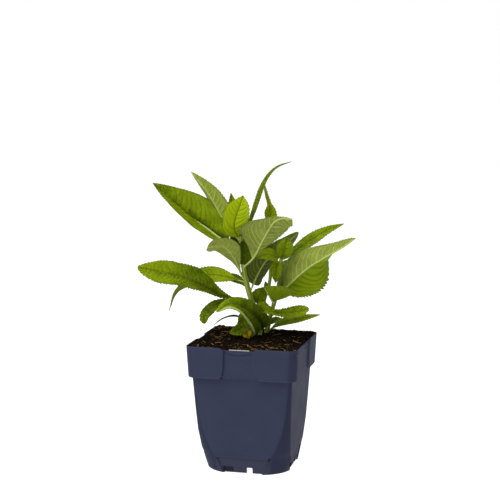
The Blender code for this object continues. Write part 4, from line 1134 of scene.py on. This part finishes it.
def strew(add, given, shape, turn, size, tone_seed):
    """Strew a shape over the given surface, as densely as its amount says, each bit with its own tone."""
    amount = add("GeometryNodeInputNamedAttribute", {"Name": "amount"}).outputs["Attribute"]
    density = add("ShaderNodeMath", {0: amount, 1: given["Per square metre"]}, operation="MULTIPLY")
    points = add("GeometryNodeDistributePointsOnFaces",
                 {"Mesh": given["Geometry"], "Density": density, "Seed": given["Seed"]})
    placed = add("GeometryNodeInstanceOnPoints",
                 {"Points": points, "Instance": shape, "Rotation": turn, "Scale": size})
    tone = add("FunctionNodeRandomValue", {"Seed": tone_seed}, data_type="FLOAT")
    toned = add("GeometryNodeStoreNamedAttribute", {"Geometry": placed, "Name": "tone", "Value": tone},
                data_type="FLOAT", domain="INSTANCE")
    return end_group(add, given, toned)


def crumb_tree():
    """Geometry tree: crumbs of random size, turn and tone strewn over a surface."""
    add, given = node_group("strewn crumbs", {"Per square metre": "Float", "Smallest": "Float",
                                              "Largest": "Float", "Seed": "Int", "Material": "Material"})
    crumb = add("GeometryNodeMeshIcoSphere", {"Radius": 1, "Subdivisions": 1})
    low, high = (add("ShaderNodeCombineXYZ", {axis: given[end] for axis in range(3)})
                 for end in ("Smallest", "Largest"))
    size = add("FunctionNodeRandomValue", {0: low, 1: high, "Seed": given["Seed"]}, data_type="FLOAT_VECTOR")
    turn = add("FunctionNodeRandomValue", {0: (0, 0, 0), 1: (6.3, 6.3, 6.3), "Seed": 5},
               data_type="FLOAT_VECTOR")
    return strew(add, given, crumb, turn, size, 9)


def strand_tree():
    """Geometry tree: curved strands of random length, turn and tone laid on a surface."""
    add, given = node_group("strewn strands", {
        "Per square metre": "Float", "Shortest": "Float", "Longest": "Float", "Slimness": "Float",
        "Tilt": "Float", "Seed": "Int", "Material": "Material"})
    bow = add("GeometryNodeCurveQuadraticBezier",
              {"Resolution": 7, "Start": (-0.5, 0, 0), "Middle": (0, 0.35, 0.12), "End": (0.5, 0, 0)})
    round_profile = add("GeometryNodeCurvePrimitiveCircle", {"Resolution": 5, "Radius": given["Slimness"]})
    strand = add("GeometryNodeCurveToMesh",
                 {"Curve": bow, "Profile Curve": round_profile, "Fill Caps": True})
    length = add("FunctionNodeRandomValue",
                 {2: given["Shortest"], 3: given["Longest"], "Seed": given["Seed"]}, data_type="FLOAT")
    down = add("ShaderNodeMath", {0: given["Tilt"], 1: -1}, operation="MULTIPLY")
    turn_low = add("ShaderNodeCombineXYZ", {0: down, 1: down, 2: -3.15})
    turn_high = add("ShaderNodeCombineXYZ", {0: given["Tilt"], 1: given["Tilt"], 2: 3.15})
    turn = add("FunctionNodeRandomValue", {0: turn_low, 1: turn_high, "Seed": 3}, data_type="FLOAT_VECTOR")
    return strew(add, given, strand, turn, length, 12)


def label_outline():
    """The label's outline, x across and y down from its top edge, with round upper corners."""
    half = LABEL_WIDTH / 2
    shoulder = LABEL_LENGTH - LABEL_POINT
    right = []
    for step in range(7):
        angle = math.radians(90 - 15 * step)
        right.append((half - LABEL_CORNER + LABEL_CORNER * math.cos(angle),
                      LABEL_CORNER - LABEL_CORNER * math.sin(angle)))
    for share in (0.25, 0.5, 0.75, 1):
        right.append((half, LABEL_CORNER + share * (shoulder - LABEL_CORNER)))
    right.append((LABEL_POINT_HALF, LABEL_LENGTH))
    return right + [(-x, y) for x, y in right[::-1]]


def make_label(card):
    """The label as a thin plate with its edges eased, its top leaning a little to the front."""
    thin = LABEL_EDGE
    half = LABEL_THICKNESS / 2
    rings = []
    for side, shrink in ((-half, thin), (-half + thin, 0), (half - thin, 0), (half, thin)):
        narrow = 1 - shrink / (LABEL_WIDTH / 2)
        rings.append([Vector((x * narrow, side, -down - shrink)) for x, down in label_outline()])
    bm = loft(rings)
    bmesh.ops.rotate(bm, matrix=Matrix.Rotation(LABEL_LEAN, 3, "X"), verts=bm.verts)
    bmesh.ops.translate(bm, vec=LABEL_TOP, verts=bm.verts)
    return add_mesh_object("plant_label", mesh_from_bmesh("plant_label", bm), [card])


# Plant

def plant_direction(vector):
    """A direction in the plant's frame, turned to the pot's."""
    right, away, up = vector
    return Vector((
        right * math.cos(PLANT_TURN) - away * math.sin(PLANT_TURN),
        right * math.sin(PLANT_TURN) + away * math.cos(PLANT_TURN),
        up,
    ))


def plant_point(point):
    """A place in the plant's frame, in metres in the pot's."""
    return plant_direction(point) * MM + Vector((0, 0, PLANT_ZERO_Z))


def curve_point(points, t):
    """A point at t, from 0 to 1, on the smooth curve through the points."""
    spans = len(points) - 1
    i = min(int(t * spans), spans - 1)
    u = t * spans - i
    p1 = points[i]
    p2 = points[i + 1]
    p0 = points[i - 1] if i > 0 else 2 * p1 - p2
    p3 = points[i + 2] if i + 2 <= spans else 2 * p2 - p1
    square = 2 * p0 - 5 * p1 + 4 * p2 - p3
    cube = 3 * p1 - p0 - 3 * p2 + p3
    return 0.5 * (2 * p1 + (p2 - p0) * u + square * u**2 + cube * u**3)


class Spine:
    """The smooth line through a list of points, read by its share of length."""

    SAMPLES = 96
    LOOK_AHEAD = 0.02

    def __init__(self, path):
        points = [plant_point(point) for point in path]
        self.samples = [curve_point(points, i / self.SAMPLES) for i in range(self.SAMPLES + 1)]
        self.lengths = [0.0]
        for a, b in zip(self.samples, self.samples[1:]):
            self.lengths.append(self.lengths[-1] + (b - a).length)
        self.length = self.lengths[-1]

    def at(self, share):
        target = share * self.length
        i = 0
        while i < self.SAMPLES - 1 and self.lengths[i + 1] < target:
            i += 1
        step = self.lengths[i + 1] - self.lengths[i]
        return self.samples[i].lerp(self.samples[i + 1], (target - self.lengths[i]) / step)

    def along(self, share):
        low = max(0.0, share - self.LOOK_AHEAD)
        high = min(1.0, share + self.LOOK_AHEAD)
        return (self.at(high) - self.at(low)).normalized()


def blade_shape(leaf, share):
    """Half width of a lance-shaped leaf as a share of its greatest half width."""
    if share <= PETIOLE:
        return 0.0
    u = (share - PETIOLE) / (1 - PETIOLE)
    return math.sin(math.pi * u ** (math.log(0.5) / math.log(leaf.widest))) ** leaf.full


def upper_face(leaf, share):
    """Where the upper face looks at a share of the leaf's length."""
    place = share * (len(leaf.faces) - 1)
    i = min(int(place), max(0, len(leaf.faces) - 2))
    j = min(i + 1, len(leaf.faces) - 1)
    return plant_direction(leaf.faces[i]).lerp(plant_direction(leaf.faces[j]), place - i)


def tooth_stations(teeth):
    """Shares of a leaf's length, each with its tooth's number and rise: 1 at a point, -1 in a notch."""
    stations = [(PETIOLE * share, 0, 0.0) for share in PETIOLE_ROWS]
    for k in range(teeth):
        for phase in TOOTH_PHASES:
            rise = phase / TOOTH_POINT if phase <= TOOTH_POINT else (1 - phase) / (1 - TOOTH_POINT)
            if k + phase > 0:
                share = PETIOLE + (1 - PETIOLE) * (k + phase) / teeth
                stations.append((share, k, 2 * rise ** TOOTH_BELLY - 1))
    stations.append((1.0, teeth - 1, 0.0))
    return stations


def read(values, share):
    """The value at a share of the leaf's length, from values at even places along it."""
    return float(np.interp(share * (len(values) - 1), range(len(values)), values))


def half_section(leaf, half, share):
    """A half's cross section from rib to margin: how far it reaches, how far it rises, and its slope."""
    rib = read(half.rib or (STEEP_AT_RIB * leaf.fold,), share)
    margin = read(half.margin or (LEVEL_AT_MARGIN * leaf.fold,), share)
    fine = np.linspace(0, 1, SLOPE_STEPS + 1)
    slope = np.radians(rib + (margin - rib) * fine + read(half.curl, share) * fine**5)
    middle = (slope[1:] + slope[:-1]) / 2
    out = np.linspace(0, 1, ACROSS_STEPS + 1)
    reach = np.interp(out, fine, np.concatenate(([0], np.cumsum(np.cos(middle)) / SLOPE_STEPS)))
    rise = np.interp(out, fine, np.concatenate(([0], np.cumsum(np.sin(middle)) / SLOPE_STEPS)))
    return reach, rise, np.interp(out, fine, slope)


def blade_arrays(leaf, number):
    """Points of a leaf's upper and lower face, rows along the rib, and what its skin needs to know."""
    spine = Spine(leaf.path)
    length = spine.length / MM
    teeth = max(4, round(length / TOOTH_PITCH))
    dice = random.Random(number * 7 + teeth)
    sizes = [[dice.uniform(*TOOTH_SIZES) for tooth in range(teeth)] for half in range(2)]
    out = np.linspace(0, 1, ACROSS_STEPS + 1)
    pitch = VEIN_PITCH + VEIN_PITCH_PER_WIDTH * leaf.width
    rows = {key: [] for key in ("upper", "lower", *SKIN_VALUES)}
    for share, tooth, rise_of_tooth in tooth_stations(teeth):
        point = np.array(spine.at(share))
        along = spine.along(share)
        across = along.cross(upper_face(leaf, share)).normalized()
        normal = np.array(across.cross(along))
        across = np.array(across)
        shape = leaf.width / 2 * blade_shape(leaf, share)
        least = PETIOLE_HALF * min(1.0, share / PETIOLE) if share < 0.5 else TIP_HALF * (1 - share) * 2
        made = {key: [] for key in rows}
        for sign, half, size in ((-1, leaf.left, sizes[0]), (1, leaf.right, sizes[1])):
            width = max(shape * read(half.widths, share), least)
            reach, rise, slope = half_section(leaf, half, share)
            depth = TOOTH_DEPTH * half.teeth * size[tooth] * rise_of_tooth * min(1.0, shape / FULL_TEETH)
            scale = width + depth * out**7
            from_rib = out * width
            phase = (share * length - from_rib * (VEIN_LEAN + VEIN_BEND * out**2)) / pitch
            phase += VEIN_OFFSET * sign
            chance = noise.noise(Vector((share * length / VEIN_STRAIGHT, sign * 3.3, number * 2.7)))
            phase += VEIN_IRREGULAR * chance
            bulge = np.abs(((phase + 0.5) % 1) - 0.5) * 2
            quilt = QUILT_DEPTH * min(1.0, shape / FULL_QUILT) * (1 - out**4) * (bulge**0.6 - 1)
            groove = -RIB_GROOVE * np.exp(-(from_rib / RIB_GROOVE_REACH) ** 2) * (1 - share)
            wave = noise.noise(Vector((share * length / WAVE_LENGTH, 5.7 * sign, number * 3.1)))
            short = noise.noise(Vector((share * length / SHORT_WAVE_LENGTH, 9.1 * sign, number * 2.3)))
            wave += SHORT_WAVE * short
            stand = quilt + groove + wave * out**2 * MARGIN_WAVE * min(1.0, shape / FULL_WAVE)
            thick = BLADE_HALF_THICKNESS * (1 - 0.5 * out**4)
            # A painted shade in the fold beside the rib, taken off the youth
            beside_rib = np.exp(-((from_rib - PAINTED_FOLD_SHADE_PLACE) / PAINTED_FOLD_SHADE_REACH) ** 2)
            fold_green = read(half.fold_green, share) * beside_rib
            # A margin that rolls up far shows its underside, painted pale with a highlight and without the
            # margin's flush
            roll = max(0.0, min(1.0, read(half.curl, share) / ROLLED_CURL - 1))
            skin = point + (np.outer(sign * reach * scale, across) + np.outer(rise * scale, normal)) * MM
            outward = np.outer(-sign * np.sin(slope), across) + np.outer(np.cos(slope), normal)
            section = {
                "upper": skin + outward * (stand + thick)[:, None] * MM,
                "lower": skin + outward * (stand - thick)[:, None] * MM,
                "vein_phase": phase, "from_rib": from_rib, "side": out * (1 - 0.16 * roll),
                "lit": np.full(len(out), half.lit), "youth": read(leaf.youth, share) - fold_green,
                "rolled_with_painted_highlight": roll * out**4,
            }
            for key, value in section.items():
                made[key].append(value[:0:-1] if sign < 0 else value)
        for key, halves in made.items():
            rows[key].append(np.concatenate(halves))
    return {key: np.array(value) for key, value in rows.items()}


def quads(*corners):
    return np.stack(corners, axis=-1).reshape(-1, 4)


def blade_faces(rows, width, first):
    """Quads of the upper face, then of the lower face, the margins and the two ends."""
    over = np.arange(rows * width).reshape(rows, width) + first
    under = over + rows * width
    top = quads(over[:-1, :-1], over[:-1, 1:], over[1:, 1:], over[1:, :-1])
    return top, np.concatenate((
        quads(under[:-1, 1:], under[:-1, :-1], under[1:, :-1], under[1:, 1:]),
        quads(over[:-1, 0], over[1:, 0], under[1:, 0], under[:-1, 0]),
        quads(over[1:, -1], over[:-1, -1], under[:-1, -1], under[1:, -1]),
        quads(over[0, 1:], over[0, :-1], under[0, :-1], under[0, 1:]),
        quads(over[-1, :-1], over[-1, 1:], under[-1, 1:], under[-1, :-1]),
    ))


def make_blades(name, leaves, upper_skin, under_skin):
    """One piece with all the leaf blades of a stem."""
    points = []
    faces = []
    skins = []
    values = {key: [] for key in SKIN_VALUES}
    first = 0
    for number, leaf in enumerate(leaves):
        given = blade_arrays(leaf, number)
        upper = given.pop("upper")
        lower = given.pop("lower")
        rows, width = upper.shape[:2]
        top, rest = blade_faces(rows, width, first)
        points += [upper.reshape(-1, 3), lower.reshape(-1, 3)]
        faces += [top, rest]
        skins += [np.zeros(len(top), int), np.ones(len(rest), int)]
        for key, value in given.items():
            values[key] += [value.ravel(), value.ravel()]
        first += 2 * rows * width
    mesh = bpy.data.meshes.new(name)
    mesh.from_pydata(np.concatenate(points), [], np.concatenate(faces))
    mesh.polygons.foreach_set("material_index", np.concatenate(skins))
    for key, value in values.items():
        store(mesh, key, np.concatenate(value).astype(np.float32))
    mesh.shade_smooth()
    mesh.set_sharp_from_angle(angle=BLADE_CRISP_BEND)
    return add_mesh_object(name, mesh, [upper_skin, under_skin])


def stalk_tree():
    """Geometry tree: a ridged round stalk along each line, as thick as the line's girth says."""
    add, given = node_group("stalk along a line", {
        "Sides": "Int", "Ridges": "Float", "Ridge height": "Float", "Material": "Material"})
    girth = add("GeometryNodeInputNamedAttribute", {"Name": "girth"}).outputs["Attribute"]
    line = add("GeometryNodeMeshToCurve", {"Mesh": given["Geometry"]})
    circle = add("GeometryNodeCurvePrimitiveCircle", {"Resolution": given["Sides"], "Radius": 1})
    round_share = add("GeometryNodeSplineParameter").outputs["Factor"]
    angle = add("ShaderNodeMath", {0: round_share, 1: math.tau}, operation="MULTIPLY")
    wave = add("ShaderNodeMath", {0: angle, 1: given["Ridges"]}, operation="MULTIPLY")
    ridge = add("ShaderNodeMath", {0: wave}, operation="COSINE")
    marked = add("GeometryNodeStoreNamedAttribute", {"Geometry": circle, "Name": "ridge", "Value": ridge},
                 data_type="FLOAT", domain="POINT")
    height = add("ShaderNodeMath", {0: ridge, 1: given["Ridge height"]}, operation="MULTIPLY")
    swell = add("ShaderNodeMath", {0: height, 1: 1}, operation="ADD")
    place = add("GeometryNodeInputPosition")
    pushed = add("ShaderNodeVectorMath", {0: place, "Scale": swell}, operation="SCALE")
    profile = add("GeometryNodeSetPosition", {"Geometry": marked, "Position": pushed})
    stalk = add("GeometryNodeCurveToMesh",
                {"Curve": line, "Profile Curve": profile, "Scale": girth, "Fill Caps": True})
    smooth = add("GeometryNodeSetShadeSmooth", {"Geometry": stalk})
    return end_group(add, given, smooth)


def stem_line(stem, leaves):
    """Points and radii of a stem, a little thicker where a leaf leaves it."""
    right, away, up = stem.path[0]
    spine = Spine(stem.path)
    points = [plant_point((right, away, up - STEM_IN_SOIL)), plant_point((right, away, up - STEM_FOOT))]
    radii = [stem.thick, stem.thick]
    nodes = [plant_point(leaf.path[0]) for leaf in leaves]
    steps = max(4, round(spine.length / (STEM_STEP * MM)))
    for i in range(steps + 1):
        share = i / steps
        point = spine.at(share)
        nearest = min((point - place).length for place in nodes) / MM
        swelling = 1 + NODE_SWELLING * math.exp(-(nearest / NODE_REACH) ** 2)
        points.append(point)
        radii.append((stem.thick + share * (stem.thin - stem.thick)) * swelling)
    tip = points[-1] + (points[-1] - points[-2]).normalized() * stem.thin * MM
    return points + [tip], radii + [STEM_END * stem.thin]


def rib_line(leaf):
    """Points and radii of a leaf's stalk and of the rib that stands out under its blade."""
    spine = Spine(leaf.path)
    steps = max(12, round(spine.length / (STEM_STEP * MM)))
    points = []
    radii = []
    grown = min(1.0, leaf.width / FULL_RIB_WIDTH)
    thick = RIB_RADIUS * (NARROW_LEAF_RIB + (1 - NARROW_LEAF_RIB) * grown)
    for i in range(steps):
        share = i / steps * RIB_ENDS
        along = spine.along(share)
        across = along.cross(upper_face(leaf, share)).normalized()
        normal = across.cross(along)
        radius = thick * (1 - RIB_THINS * share**0.8)
        under = smooth_step(0.4 * PETIOLE, PETIOLE, share) * (RIB_HANGS * radius + RIB_HANGS_MORE)
        if share < leaf.rib_over:
            over = 1 - smooth_step(RIB_SINKS_FROM, 1, share / leaf.rib_over)
            under *= 1 - RIB_RAISED * over
            radius *= 1 + RIB_SWOLLEN * over
        points.append(spine.at(share) - normal * under * MM)
        radii.append(radius)
    return points, radii


def make_stalks(name, lines, tree, ridges, ridge_height, skin):
    """One piece with the stalks along all the lines."""
    points = []
    edges = []
    girths = []
    for line, radii in lines:
        first = len(points)
        points += line
        girths += [radius * MM for radius in radii]
        edges += [(first + i, first + i + 1) for i in range(len(line) - 1)]
    mesh = bpy.data.meshes.new(name)
    mesh.from_pydata(points, edges, [])
    store(mesh, "girth", girths)
    piece = add_mesh_object(name, mesh)
    grow(piece, tree, {"Sides": STALK_SIDES, "Ridges": ridges, "Ridge height": ridge_height,
                       "Material": skin})
    return piece


# Stage

def make_floor():
    bm = bmesh.new()
    bmesh.ops.create_grid(bm, x_segments=2, y_segments=2, size=STAGE_HALF)
    floor = add_mesh_object("floor", mesh_from_bmesh("floor", bm), [studio_floor()])


def add_panel(name, place, size, power):
    """A soft square studio light that looks at the plant."""
    light = bpy.data.lights.new(name, "AREA")
    light.shape = "SQUARE"
    light.size = size
    light.energy = power
    lamp = bpy.data.objects.new(name, light)
    lamp.location = place
    lamp.rotation_euler = (Vector(PANEL_AIM) - Vector(place)).to_track_quat("-Z", "Y").to_euler()
    bpy.context.scene.collection.objects.link(lamp)


def light_studio():
    world = bpy.data.worlds.new("white studio")
    world.use_nodes = True
    tree = world.node_tree
    seen = node(tree, "ShaderNodeLightPath").outputs["Is Camera Ray"]
    strength = node(tree, "ShaderNodeMapRange", {0: seen, 3: SURROUND_LIGHT, 4: SURROUND_WHITE})
    fill(tree.nodes["Background"], {"Color": "#ffffff", "Strength": strength})
    bpy.context.scene.world = world
    for panel in PANELS:
        add_panel(*panel)
    bpy.context.scene.view_settings.view_transform = "Standard"


def set_camera():
    back = Vector((
        math.sin(CAMERA_TURN) * math.cos(CAMERA_RISE),
        -math.cos(CAMERA_TURN) * math.cos(CAMERA_RISE),
        math.sin(CAMERA_RISE),
    ))
    right = Vector((math.cos(CAMERA_TURN), math.sin(CAMERA_TURN), 0))
    matrix = Matrix((right, back.cross(right), back)).transposed().to_4x4()
    matrix.translation = right * CAMERA_AIM_RIGHT + Vector((0, 0, CAMERA_AIM_UP)) + back * CAMERA_DISTANCE
    camera = bpy.data.objects.new("camera", bpy.data.cameras.new("camera"))
    camera.matrix_world = matrix
    camera.data.lens = CAMERA_LENS
    camera.data.clip_end = 20
    bpy.context.scene.collection.objects.link(camera)
    bpy.context.scene.camera = camera


def build_plant():
    upper = leaf_skin("upper skin of a leaf", True, UPPER_GREENS, 0.4, 0.5)
    under = leaf_skin("underside of a leaf", False, UNDER_GREENS, 0.62, 0.65)
    old_upper = leaf_skin("upper skin of an old leaf", True, UPPER_YELLOWS, 0.5, 0.55)
    old_under = leaf_skin("underside of an old leaf", False, UNDER_YELLOWS, 0.5, 0.65)
    green = stalk_skin("skin of a green stem", "#6c7c16", "#acb84e")
    pale = stalk_skin("skin of a leaf's rib", "#94a446", "#c0cc80")
    yellow = stalk_skin("skin of an old stalk", "#8a7a20", "#c0aa50")
    tree = stalk_tree()
    fresh = (upper, under, green, pale, "leaf_green")
    old = (old_upper, old_under, yellow, yellow, "old_leaf_yellow")
    shoots = (
        ("tall", TALL_STEM, TALL_LEAVES, "leafy_stem_tall", fresh),
        ("right", RIGHT_STEM, RIGHT_LEAVES, "leafy_stem_right", fresh),
        ("back", BACK_STEM, BACK_LEAVES, "leafy_stem_back", fresh),
        ("front", FRONT_STEM, FRONT_LEAVES, "leafy_stem_front", fresh),
        ("old", OLD_LEAF_STEM, OLD_LEAF, "yellow_leaf", old),
    )
    for title, stem, leaves, solid, (above, below, stalk_green, rib_green, slot) in shoots:
        line = stem_line(stem, leaves)
        rib_lines = [rib_line(leaf) for leaf in leaves]
        stand_for(make_blades(title + "_blades", leaves, above, below), [solid], slot)
        stand_for(make_stalks(title + "_stem", [line], tree, STEM_RIDGES, STEM_RIDGE_HEIGHT, stalk_green),
                  [solid], slot)
        stand_for(make_stalks(title + "_ribs", rib_lines, tree, RIB_RIDGES, RIB_RIDGE_HEIGHT, rib_green),
                  [solid], slot)


def build_pot_and_soil():
    stand_for(make_pot(polypropylene()), ["pot"], "pot_plastic")
    stand_for(make_soil(peat()), ["soil"], "peat_soil")
    stand_for(make_label(polystyrene_card()), ["label"], "label_plastic")
    crumbs = soil_patch("peat_crumbs")
    grow(crumbs, crumb_tree(), {
        "Per square metre": 620000, "Smallest": 0.35 * MM, "Largest": 1.1 * MM, "Seed": 4,
        "Material": litter("crumbs of peat and bark", "#020100", "#2e1f0c", 0.95)})
    fibres = soil_patch("dry_fibres")
    grow(fibres, strand_tree(), {
        "Per square metre": 80000, "Shortest": 3 * MM, "Longest": 9 * MM, "Slimness": 0.024,
        "Tilt": 0.28, "Seed": 7, "Material": litter("strands of dry fibre", "#1a1008", "#c09a5c", 0.8)})
    stand_for(crumbs, [], "peat_soil")
    stand_for(fibres, [], "peat_soil")


set_camera()
light_studio()
make_floor()
build_pot_and_soil()
build_plant()
